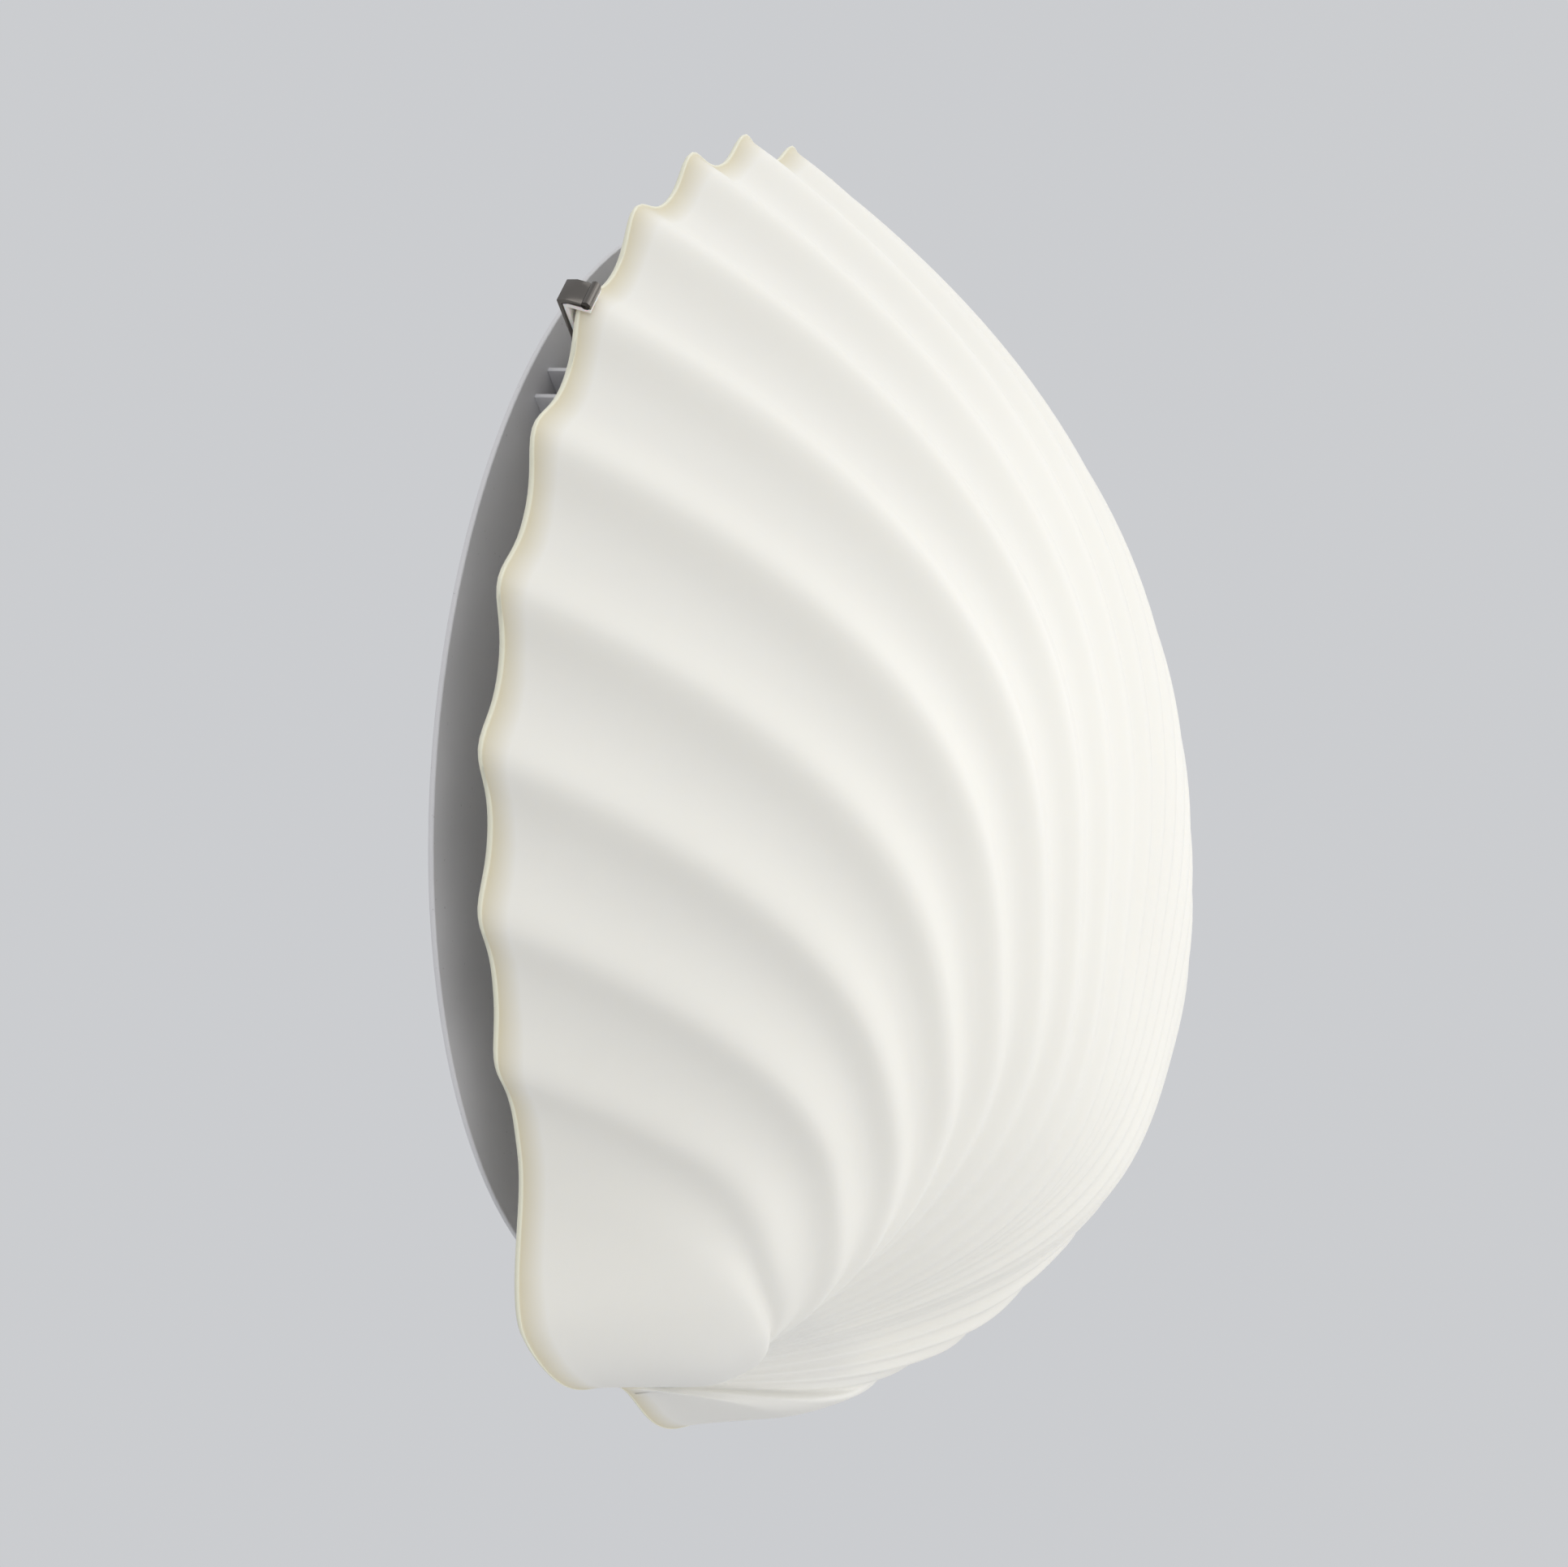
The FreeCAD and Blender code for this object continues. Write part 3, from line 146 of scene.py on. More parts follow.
class SconceColours(bpy.types.PropertyGroup):
    """Colours of the finishes."""

    opal: colour("Opal glass", "Body colour of the shade", (0.885, 0.875, 0.83))
    opal_edge: colour("Glass edge", "Colour of the bare glass beside the rim", (0.70, 0.65, 0.50))
    opal_lip: colour("Glass lip", "Polished lip of the shade", (0.84, 0.83, 0.68))
    enamel: colour("Enamel", "Paint of the plate", (0.72, 0.72, 0.75))
    # the strip's colour is set far darker than bare nickel: a painted dark reflection of dark surroundings
    nickel_painted_reflection: colour("Nickel", "Polished strip of the clip and hooks", (0.19, 0.175, 0.16))
    zinc: colour("Zinc", "Plated screws, nuts and bracket", (0.62, 0.63, 0.62))
    brass: colour("Brass", "Contacts, sleeve and clamp screws", (0.78, 0.58, 0.26))
    liner: colour("Liner", "Pale, slightly pink sleeve between metal and glass", (0.86, 0.80, 0.79))
    moulding: colour("Moulding", "Body of the lampholder", (0.80, 0.78, 0.72))
    glaze: colour("Glaze", "Glazed insert of the lampholder", (0.86, 0.85, 0.80))
    coating_thin: colour("Thin coating", "Lamp's coating where it is thin", (0.90, 0.89, 0.87))
    coating_thick: colour("Thick coating", "Lamp's coating where it is thick", (0.95, 0.94, 0.92))
    cap: colour("Cap", "Rolled cap of the lamp", (0.72, 0.72, 0.71))
    insulator: colour("Insulator", "Dark glass at the foot of the cap", (0.025, 0.025, 0.035))
    stem_grey: colour("Stem shade", "Darker streaks of the lamp's stem", (0.86, 0.91, 0.90))
    stem_clear: colour("Stem glass", "Lighter streaks of the lamp's stem", (0.93, 0.95, 0.94))
    wire: colour("Wire", "Drawn wire in the lamp", (0.33, 0.33, 0.35))
    terminal: colour("Terminal block", "Milky body of the terminal block", (0.84, 0.82, 0.76))
    live: colour("Live lead", "Brown insulation", (0.16, 0.06, 0.025))
    neutral: colour("Neutral lead", "Blue insulation", (0.03, 0.12, 0.42))
    earth: colour("Earth lead", "Green insulation", (0.03, 0.22, 0.04))
    earth_stripe: colour("Earth stripe", "Yellow stripe on the green", (0.80, 0.62, 0.04))
    rubber: colour("Rubber", "Grommet in the plate", (0.03, 0.03, 0.032))
    backdrop: colour("Backdrop", "Pale surroundings", (0.60, 0.61, 0.63))


class SconceLights(bpy.types.PropertyGroup):
    """Light of the stage."""

    ambient: FloatProperty(name="Ambient", description="Strength of the pale surroundings", default=0.66)
    key: power("Key", "Power of the large light in front", 7.6)
    under: power("Under", "Power of the light below", 1.5)
    top: power("Top", "Power of the light above", 2.6)
    side: power("Side", "Power of the weak light at the left", 4.5)


# ---------------------------------------------------------------- formulas in node trees
class Field:
    """A number inside a node tree, so that a formula is written as one."""

    def __init__(self, tree, socket):
        self.tree = tree
        self.socket = socket

    def __add__(self, other):
        return calculate(self.tree, "ADD", self, other)

    def __sub__(self, other):
        return calculate(self.tree, "SUBTRACT", self, other)

    def __rsub__(self, other):
        return calculate(self.tree, "SUBTRACT", other, self)

    def __mul__(self, other):
        return calculate(self.tree, "MULTIPLY", self, other)

    def __truediv__(self, other):
        return calculate(self.tree, "DIVIDE", self, other)

    def __pow__(self, other):
        return calculate(self.tree, "POWER", self, other)


def feed(tree, socket, value):
    """Give a node's input a field, a socket or a plain value."""
    if isinstance(value, Field):
        value = value.socket
    if isinstance(value, bpy.types.NodeSocket):
        tree.links.new(value, socket)
    else:
        socket.default_value = value


def set_inputs(node, values):
    """Plain values for a node's own inputs."""
    for name, value in values.items():
        node.inputs[name].default_value = value


def calculate(tree, operation, *values):
    """One math node."""
    node = tree.nodes.new("ShaderNodeMath")
    node.operation = operation
    for socket, value in zip(node.inputs, values):
        feed(tree, socket, value)
    return Field(tree, node.outputs[0])


def smooth(value, start, span):
    """A step from 0 to 1 with no corners."""
    node = value.tree.nodes.new("ShaderNodeMapRange")
    node.interpolation_type = "SMOOTHSTEP"
    feed(value.tree, node.inputs["Value"], value)
    feed(value.tree, node.inputs["From Min"], start)
    feed(value.tree, node.inputs["From Max"], start + span)
    return Field(value.tree, node.outputs["Result"])


# the usual functions, each as one node
def sine(value):
    return calculate(value.tree, "SINE", value)


def cosine(value):
    return calculate(value.tree, "COSINE", value)


def magnitude(value):
    return calculate(value.tree, "ABSOLUTE", value)


def root(value):
    return calculate(value.tree, "SQRT", value)


def natural_power(value):
    return calculate(value.tree, "EXPONENT", value)


def least(value, other):
    return calculate(value.tree, "MINIMUM", value, other)


def most(value, other):
    return calculate(value.tree, "MAXIMUM", value, other)


def bearing(opposite, adjacent):
    """The angle of a direction, from its two parts."""
    return calculate(opposite.tree, "ARCTAN2", opposite, adjacent)


def distance(one, other):
    """The length of a direction, from its two parts."""
    return root(one * one + other * other)


def vector_node(tree, operation, *values):
    """One vector math node, as its output socket."""
    node = tree.nodes.new("ShaderNodeVectorMath")
    node.operation = operation
    for socket, value in zip(node.inputs, values):
        feed(tree, socket, value)
    return node.outputs[0]


def scaled(tree, vector, factor):
    """A vector times a field."""
    node = tree.nodes.new("ShaderNodeVectorMath")
    node.operation = "SCALE"
    tree.links.new(vector, node.inputs[0])
    feed(tree, node.inputs["Scale"], factor)
    return node.outputs[0]


def combined(tree, x, y, z):
    """A vector from three fields."""
    node = tree.nodes.new("ShaderNodeCombineXYZ")
    for socket, value in zip(node.inputs, (x, y, z)):
        feed(tree, socket, value)
    return node.outputs[0]


def separated(tree, vector):
    """The three fields of a vector."""
    node = tree.nodes.new("ShaderNodeSeparateXYZ")
    tree.links.new(vector, node.inputs[0])
    return [Field(tree, socket) for socket in node.outputs]


def add_input(tree, name, kind):
    """A named input of a node tree."""
    tree.interface.new_socket(name=name, in_out="INPUT", socket_type=kind)


def add_output(tree, name, kind):
    """A named output of a node tree."""
    tree.interface.new_socket(name=name, in_out="OUTPUT", socket_type=kind)


def add_inputs(tree, group, kind):
    """An input of a node tree for each setting of a group."""
    for name in group.__annotations__:
        add_input(tree, name, kind)


def inputs_of(tree, given, group):
    """The inputs that a settings group names, as fields."""
    return {name: Field(tree, given.outputs[name]) for name in group.__annotations__}


# ---------------------------------------------------------------- the rule of the shell
# Angles are measured from the top of the rim, and both sides of the shell are alike. A name with _SPAN is
# the stretch after its start in which a change is made.
RIB_PITCH, RIB_GROWTH = 11.69, 0.0425        # degrees of rim for each rib, and how that grows
RIB_SHIFT, SHIFT_SPAN = 0.19, 35.0           # share of a pitch that the side ribs lie nearer the top
RIB_START = 1.3                              # how slowly the ribs rise as they leave the beak
BEAK_SHARPNESS, RIM_SHARPNESS = 0.15, 0.7    # how much narrower than the flutes the crests are
HEEL_FADE, HEEL_FADE_START, HEEL_FADE_SPAN = 0.4, 112.0, 26.0    # share of relief lost at these degrees
EAR_FADE, EAR_FADE_START, EAR_FADE_SPAN = 0.6, 139.0, 12.0       # and the rest of it at these
HEEL_START, HEEL_SPAN = math.radians(143), math.radians(20)      # the rim swells
EAR_START, EAR_SPAN = math.radians(147), math.radians(13)        # the rim stands out as an ear
SWELL_START, SWELL_SPAN = math.radians(138), math.radians(14)    # the beak is fuller
TURN_START, TURN_SPAN = math.radians(25), math.radians(75)       # the top's outline becomes the side's
DOME_ROUNDNESS = 1.5                         # how fast the dome's height grows with a rib's length
TOP_PEAK, SIDE_PEAK = 0.39, 0.49             # where a rib is highest, as a share of its run
TOP_FALL, SIDE_FALL = 2.3, 2.9               # how late a rib falls to the rim
TOP_CREST, SIDE_CREST = 3.4, 2.2             # how flat a rib is before its highest place
SWELL_RUN = 40.0 * MM                        # length of a rib from which the beak's swell is whole
NOTCH_HALF = math.radians(8)                 # half the width of the notch
EAR_INNER, EAR_INNER_SPAN = 40.0 * MM, 90.0 * MM    # distance from the middle where ears and notch begin
FAN_STEPS, FAN_GAIN = 8, 1.6                 # rounds of the search for a rib's rim angle, and their step
FAN_GUESS = 2.0                              # its start: on a circle the angle is twice the direction
LEAST_RUN, LEAST_REACH = 0.001 * MM, 1.0 * MM    # what lengths are held above before a division
SLOPE_STEP = 0.4 * MM                        # how far apart the dome is sampled for its slope
LEVEL_DEPTH = 12.0 * MM                      # depth over which the wall's direction turns level
INNER_EASING = 0.4                           # how much shallower the ribs are on the inner skin
FOLD_START, FOLD_SPAN = math.radians(158), math.radians(12)      # the tight fold between the ears
FOLD_NEAR, FOLD_NEAR_SPAN = 2.0 * MM, 6.0 * MM    # depth where the fold begins
FOLD_FAR, FOLD_FAR_SPAN = 40.0 * MM, 12.0 * MM    # depth where it ends
FOLD_THINNING = 0.78                         # how much thinner the wall is there
MERGE_REACH = 0.0005 * MM                    # points nearer than this are one
RIM_ATTRIBUTE = "rim_distance"               # depth off the rim, kept on the mesh for the material


def rim_radius(sizes, angle):
    """Mean radius of the rim at an angle from the top."""
    return sizes["rim_mean"] + sizes["rim_egg"] * cosine(angle) + sizes["heel_lift"] * smooth(
        angle, HEEL_START, HEEL_SPAN)


def beak_level(sizes):
    """Height of the point in the notch that all ribs leave."""
    return (sizes["rim_mean"] - sizes["rim_egg"] + sizes["heel_lift"]) * -1.0


def fan_angle(sizes, beak, wanted):
    """Rim angle of the rib line that leaves the beak in a wanted direction."""
    angle = wanted * FAN_GUESS
    for _ in range(FAN_STEPS):
        radius = rim_radius(sizes, angle)
        found = bearing(radius * sine(angle), radius * cosine(angle) - beak)
        angle = angle + (wanted - found) * FAN_GAIN
    return least(most(angle, 0.0), math.pi)


def rib_wave(angle, along):
    """Ribs from -0.5 in a flute to 0.5 on a crest: rolls that narrow towards the rim."""
    degrees = angle * (180 / math.pi)
    number = (root(degrees * (4 * RIB_GROWTH) + RIB_PITCH ** 2) - RIB_PITCH) / (2 * RIB_GROWTH)
    number = number + smooth(degrees, 0.0, SHIFT_SPAN) * RIB_SHIFT
    sharp = along * along * (RIM_SHARPNESS - BEAK_SHARPNESS) + BEAK_SHARPNESS
    low = natural_power(sharp * -2.0)
    swing = cosine((number - 0.5) * (2 * math.pi)) - 1.0
    wave = (natural_power(swing * sharp) - low) / (1.0 - low) - 0.5
    fade = 1.0 - smooth(degrees, HEEL_FADE_START, HEEL_FADE_SPAN) * HEEL_FADE
    fade = fade - smooth(degrees, EAR_FADE_START, EAR_FADE_SPAN) * EAR_FADE
    return wave * fade


def dome_depth(sizes, beak, rib, run, along):
    """Depth off the rim: it rises from the beak to a peak and falls ever steeper to the rim."""
    swell = sizes["umbo_swell"] * smooth(rib, SWELL_START, SWELL_SPAN) * least(run / SWELL_RUN, 1.0)
    longest = sizes["rim_mean"] + sizes["rim_egg"] - beak
    fullness = 1.0 - (1.0 - least(run / longest, 1.0)) ** DOME_ROUNDNESS
    top = sizes["shade_depth"] * fullness + swell
    side_share = smooth(rib, TURN_START, TURN_SPAN)
    fall = side_share * (SIDE_FALL - TOP_FALL) + TOP_FALL
    crest = side_share * (SIDE_CREST - TOP_CREST) + TOP_CREST
    peak = side_share * (SIDE_PEAK - TOP_PEAK) + TOP_PEAK
    beyond = most((along - peak) / (1.0 - peak), 0.0)
    before = most((peak - along) / peak, 0.0)
    return top * (1.0 - before ** crest - beyond ** fall)


def ear_growth(sizes, x, z, depth):
    """How much wider the ears and the notch make the shell, which fades with depth."""
    around, reach = bearing(magnitude(x), z), distance(x, z)
    off_notch = (math.pi - around) / NOTCH_HALF
    notch = sizes["notch_depth"] * natural_power(off_notch * off_notch * -1.0)
    push = sizes["ear_flare"] * smooth(around, EAR_START, EAR_SPAN) - notch
    push = push * natural_power(depth / sizes["ear_reach"] * -1.0)
    push = push * smooth(reach, EAR_INNER, EAR_INNER_SPAN)
    return push / most(reach, LEAST_REACH) + 1.0


def dome_tree():
    """The smooth dome as a node group: a place seen from the front gives the place on the dome."""
    tree = bpy.data.node_groups.new("Shell Dome", "GeometryNodeTree")
    for name in ("Across", "Up"):
        add_input(tree, name, "NodeSocketFloat")
    add_inputs(tree, SconceShadeSizes, "NodeSocketFloat")
    add_output(tree, "Place", "NodeSocketVector")
    for name in ("Depth", "Relief"):
        add_output(tree, name, "NodeSocketFloat")
    given = tree.nodes.new("NodeGroupInput")
    sizes = inputs_of(tree, given, SconceShadeSizes)
    x, z = Field(tree, given.outputs["Across"]), Field(tree, given.outputs["Up"])

    # the rib line through that place, and how far along it the place lies
    beak = beak_level(sizes)
    rib = fan_angle(sizes, beak, bearing(magnitude(x), z - beak))
    rib_radius = rim_radius(sizes, rib)
    run = most(distance(rib_radius * sine(rib), rib_radius * cosine(rib) - beak), LEAST_RUN)
    along = least(distance(x, z - beak) / run, 1.0)

    depth = dome_depth(sizes, beak, rib, run, along)
    grow = ear_growth(sizes, x, z, depth)
    place = combined(tree, x * grow, (sizes["rim_out"] + depth) * -1.0, z * grow)
    result = tree.nodes.new("NodeGroupOutput")
    tree.links.new(place, result.inputs["Place"])
    feed(tree, result.inputs["Depth"], depth)
    feed(tree, result.inputs["Relief"], sizes["rib_relief"] * rib_wave(rib, along) * along ** RIB_START)
    return tree


def dome_at(dome, sizes, across, up):
    """The dome's group at a place seen from the front."""
    tree = across.tree
    node = tree.nodes.new("GeometryNodeGroup")
    node.node_tree = dome
    feed(tree, node.inputs["Across"], across)
    feed(tree, node.inputs["Up"], up)
    for name, size in sizes.items():
        feed(tree, node.inputs[name], size)
    return node


def way_over(dome, sizes, start, end):
    """The way in space from one place of the dome to another."""
    first, last = dome_at(dome, sizes, *start), dome_at(dome, sizes, *end)
    return vector_node(start[0].tree, "SUBTRACT", last.outputs["Place"], first.outputs["Place"])


def wall_direction(dome, sizes, across, up, depth):
    """The outward direction of the smooth dome, turned level at the rim."""
    tree = across.tree
    sideways = way_over(dome, sizes, (across - SLOPE_STEP, up), (across + SLOPE_STEP, up))
    upwards = way_over(dome, sizes, (across, up - SLOPE_STEP), (across, up + SLOPE_STEP))
    outwards = vector_node(tree, "NORMALIZE", vector_node(tree, "CROSS_PRODUCT", sideways, upwards))
    right, back, rise = separated(tree, outwards)
    level = combined(tree, right, back * smooth(depth, 0.0, LEVEL_DEPTH), rise)
    return vector_node(tree, "NORMALIZE", level)


def shade_grid(tree, given):
    """The flat grid for both skins: its mesh, and for each point its place in the shell's rule.

    That is the rim angle, the share of the way from beak to rim and the turn round the lip, which is 0
    on the outer skin and half a turn on the inner one.
    """
    skin_rows, lip_rows = Field(tree, given.outputs["rows"]), Field(tree, given.outputs["lip_rows"])
    all_rows = skin_rows * 2.0 + lip_rows
    grid = tree.nodes.new("GeometryNodeMeshGrid")
    set_inputs(grid, {"Size X": 1.0, "Size Y": 1.0})
    feed(tree, grid.inputs["Vertices X"], Field(tree, given.outputs["columns"]) + 1.0)
    feed(tree, grid.inputs["Vertices Y"], all_rows + 1.0)
    column, row, _ = separated(tree, tree.nodes.new("GeometryNodeInputPosition").outputs[0])
    row = calculate(tree, "ROUND", (row + 0.5) * all_rows)
    from_beak = least(least(row, all_rows - row), skin_rows)
    share = (1.0 - cosine(from_beak / skin_rows * math.pi)) * 0.5
    lip_turn = least(most((row - skin_rows) / lip_rows, 0.0), 1.0) * math.pi
    return grid.outputs["Mesh"], column * (2 * math.pi), share, lip_turn


def wall_thickness(sizes, across, up, depth):
    """Thickness of the glass: thinner in the tight fold, where the inner skin would cut the outer."""
    fold = smooth(bearing(magnitude(across), up), FOLD_START, FOLD_SPAN)
    fold = fold * smooth(depth, FOLD_NEAR, FOLD_NEAR_SPAN)
    fold = fold * (1.0 - smooth(depth, FOLD_FAR, FOLD_FAR_SPAN))
    return sizes["wall"] * (1.0 - fold * FOLD_THINNING)


def closed_skin(tree, mesh, place, depth):
    """The grid with its points at their places, its seams closed and its faces outwards."""
    stored = tree.nodes.new("GeometryNodeStoreNamedAttribute")
    stored.data_type = "FLOAT"
    stored.domain = "POINT"
    stored.inputs["Name"].default_value = RIM_ATTRIBUTE
    tree.links.new(mesh, stored.inputs["Geometry"])
    feed(tree, stored.inputs["Value"], depth)
    moved = tree.nodes.new("GeometryNodeSetPosition")
    tree.links.new(stored.outputs["Geometry"], moved.inputs["Geometry"])
    tree.links.new(place, moved.inputs["Position"])
    merged = tree.nodes.new("GeometryNodeMergeByDistance")
    merged.inputs["Distance"].default_value = MERGE_REACH
    tree.links.new(moved.outputs[0], merged.inputs["Geometry"])
    flipped = tree.nodes.new("GeometryNodeFlipFaces")
    tree.links.new(merged.outputs[0], flipped.inputs[0])
    return smooth_shaded(tree, flipped.outputs[0])


def smooth_shaded(tree, geometry):
    """A mesh whose faces are shaded as one surface."""
    node = tree.nodes.new("GeometryNodeSetShadeSmooth")
    tree.links.new(geometry, node.inputs["Geometry"])
    return node.outputs[0]


def shade_tree(material):
    """The whole shade: one grid that runs out over the outer skin, round the lip and back inside."""
    tree = bpy.data.node_groups.new("Scallop Shade", "GeometryNodeTree")
    add_inputs(tree, SconceShadeSizes, "NodeSocketFloat")
    add_inputs(tree, SconceShadeMesh, "NodeSocketInt")
    add_output(tree, "Geometry", "NodeSocketGeometry")
    given = tree.nodes.new("NodeGroupInput")
    sizes = inputs_of(tree, given, SconceShadeSizes)
    mesh, angle, share, lip_turn = shade_grid(tree, given)

    # the place seen from the front, on the rib line from the beak to the rim
    radius = rim_radius(sizes, magnitude(angle))
    beak = beak_level(sizes)
    across = share * radius * sine(angle) * -1.0
    up = beak + share * (radius * cosine(angle) - beak)
    dome = dome_tree()
    here = dome_at(dome, sizes, across, up)
    depth = Field(tree, here.outputs["Depth"])

    # ribs and wall stand off the dome, and the lip is rounded
    inside = (1.0 - cosine(lip_turn)) * 0.5
    relief = Field(tree, here.outputs["Relief"]) * (1.0 - inside * INNER_EASING)
    stand = relief - inside * wall_thickness(sizes, across, up, depth)
    offset = scaled(tree, wall_direction(dome, sizes, across, up, depth), stand)
    rounding = (distance(depth, sizes["lip"]) - depth) * (1.0 - sine(lip_turn)) * -1.0
    place = vector_node(tree, "ADD", here.outputs["Place"], offset)
    place = vector_node(tree, "ADD", place, combined(tree, 0.0, rounding, 0.0))
    finish_tree(tree, closed_skin(tree, mesh, place, depth), material)
    return tree


# ---------------------------------------------------------------- pieces out of node trees
def finish_tree(tree, geometry, material):
    """End a tree the way every tree here ends: instances made real, then the material."""
    real = tree.nodes.new("GeometryNodeRealizeInstances")
    tree.links.new(geometry, real.inputs[0])
    painted = tree.nodes.new("GeometryNodeSetMaterial")
    painted.inputs["Material"].default_value = material
    tree.links.new(real.outputs[0], painted.inputs["Geometry"])
    result = tree.nodes.new("NodeGroupOutput")
    tree.links.new(painted.outputs[0], result.inputs["Geometry"])


def grown(name, tree, values, mesh=None):
    """Run a node tree on a mesh and keep the result as a plain mesh object at the origin."""
    seed = bpy.data.objects.new(name + "_seed", mesh or bpy.data.meshes.new(name + "_seed"))
    bpy.context.scene.collection.objects.link(seed)
    modifier = seed.modifiers.new("Shape", "NODES")
    modifier.node_group = tree
    for socket in tree.interface.items_tree:
        if socket.in_out == "INPUT" and socket.name in values:
            modifier[socket.identifier] = values[socket.name]
    evaluated = seed.evaluated_get(bpy.context.evaluated_depsgraph_get())
    result = bpy.data.meshes.new_from_object(evaluated)
    result.name = name
    bpy.data.objects.remove(seed)
    return placed(name, result)


def placed(name, mesh):
    """A mesh as an object of the scene, at the origin."""
    piece = bpy.data.objects.new(name, mesh)
    bpy.context.scene.collection.objects.link(piece)
    return piece


def settings(name):
    """One group of settings."""
    return getattr(bpy.context.scene, "sconce_" + name)


def values_of(group):
    """The values of a settings group by name."""
    return {name: getattr(group, name) for name in group.__annotations__}


# ---------------------------------------------------------------- materials
NOISE_LOW, NOISE_HIGH = 0.3, 0.7             # a noise mostly stays between these

# how fine the patterns are, in waves per metre
GLASS_CLOUDS, GLASS_SATIN, GLASS_WAVES, GLASS_GRAIN = 9.0, 22.0, 42.0, 2600.0
ENAMEL_CLOUDS, ENAMEL_SMEARS, ENAMEL_PEEL, ENAMEL_SPECKS = 14.0, 30.0, 620.0, 900.0
METAL_STAINS, METAL_MARKS = 70.0, 900.0
BODY_FLOW, BODY_SKIN, BODY_PITS = 55.0, 1100.0, 1500.0
COATING_CLOUDS, COATING_SKIN = 45.0, 1800.0
STEM_STREAKS, STEM_WAVES = 200.0, 300.0
EARTH_STRIPES, EARTH_SHEEN = 55.0, 300.0
FLOOR_CLOUDS = 1.5

# how high their bumps are
GLASS_WAVE, GLASS_GRIT = 0.5 * MM, 0.02 * MM
ENAMEL_BUMP, METAL_BUMP, BODY_BUMP = 0.05 * MM, 0.03 * MM, 0.03 * MM
COATING_BUMP, STEM_BUMP = 0.02 * MM, 0.05 * MM

# the bare band and the polished lip, by distance from the rim: whole at the first, gone at the second
BAND_WHOLE, BAND_GONE = 1.0 * MM, 6.0 * MM
LIP_WHOLE, LIP_GONE = 0.1 * MM, 0.8 * MM
BAND_RAGS, BAND_RAGGEDNESS = 60.0, 1.5 * MM  # waves per metre and depth of the band's uneven edge
LIP_POLISH = 0.22                            # how much smoother the lip is than the satin

LENGTHWISE = (1.0, 1.0, 0.2)                 # stretches of a pattern along a piece
FLOWING = (1.0, 1.0, 0.4)
WIPED = (1.0, 1.0, 3.0)                      # and across it
ROLLED = (1.0, 1.0, 6.0)


def new_material(name):
    """A finish with its tree and its main shader, which are None where it is there already."""
    material = bpy.data.materials.get(name + "_finish")
    if material is not None:
        return material, None, None
    material = bpy.data.materials.new(name + "_finish")
    material.use_nodes = True
    tree = material.node_tree
    return material, tree, tree.nodes["Principled BSDF"]


def object_place(tree, scale=(1.0, 1.0, 1.0)):
    """Object coordinates, stretched."""
    coordinates = tree.nodes.new("ShaderNodeTexCoord")
    mapping = tree.nodes.new("ShaderNodeMapping")
    mapping.inputs["Scale"].default_value = scale
    tree.links.new(coordinates.outputs["Object"], mapping.inputs["Vector"])
    return mapping.outputs[0]


def noise(tree, place, scale, detail=3.0, roughness=0.5):
    """A noise field over a surface."""
    node = tree.nodes.new("ShaderNodeTexNoise")
    set_inputs(node, {"Scale": scale, "Detail": detail, "Roughness": roughness})
    tree.links.new(place, node.inputs["Vector"])
    return Field(tree, node.outputs["Fac"])


def spread(value, low, high, to_low, to_high):
    """A field's range mapped onto another, held at its ends."""
    node = value.tree.nodes.new("ShaderNodeMapRange")
    feed(value.tree, node.inputs["Value"], value)
    set_inputs(node, {"From Min": low, "From Max": high, "To Min": to_low, "To Max": to_high})
    return Field(value.tree, node.outputs["Result"])


def wandering(value, low=0.0, high=1.0):
    """A noise's usual range mapped onto another."""
    return spread(value, NOISE_LOW, NOISE_HIGH, low, high)


def specks(tree, place, scale, start, end):
    """Scattered small spots: 1 where a noise is above an end, 0 below a start."""
    return spread(noise(tree, place, scale, 2.0), start, end, 0.0, 1.0)


def mixed(tree, factor, one, other):
    """Two colours mixed by a field."""
    node = tree.nodes.new("ShaderNodeMix")
    node.data_type = "RGBA"
    feed(tree, node.inputs["Factor"], factor)
    for socket, value in ((node.inputs[6], one), (node.inputs[7], other)):
        if isinstance(value, bpy.types.NodeSocket):
            tree.links.new(value, socket)
        else:
            socket.default_value = (*value, 1.0)
    return node.outputs[2]


def bumped(tree, shader, height, strength, reach):
    """A bump of a real height on a shader, over whatever bump it has."""
    node = tree.nodes.new("ShaderNodeBump")
    set_inputs(node, {"Strength": strength, "Distance": reach})
    feed(tree, node.inputs["Height"], height)
    if shader.inputs["Normal"].is_linked:
        tree.links.new(shader.inputs["Normal"].links[0].from_socket, node.inputs["Normal"])
    tree.links.new(node.outputs["Normal"], shader.inputs["Normal"])


def shaded(rgb, factor):
    """A colour made darker or lighter."""
    return tuple(min(channel * factor, 1.0) for channel in rgb)


def attribute(tree, name):
    """A field stored on the piece's own mesh."""
    node = tree.nodes.new("ShaderNodeAttribute")
    node.attribute_name = name
    return Field(tree, node.outputs["Fac"])


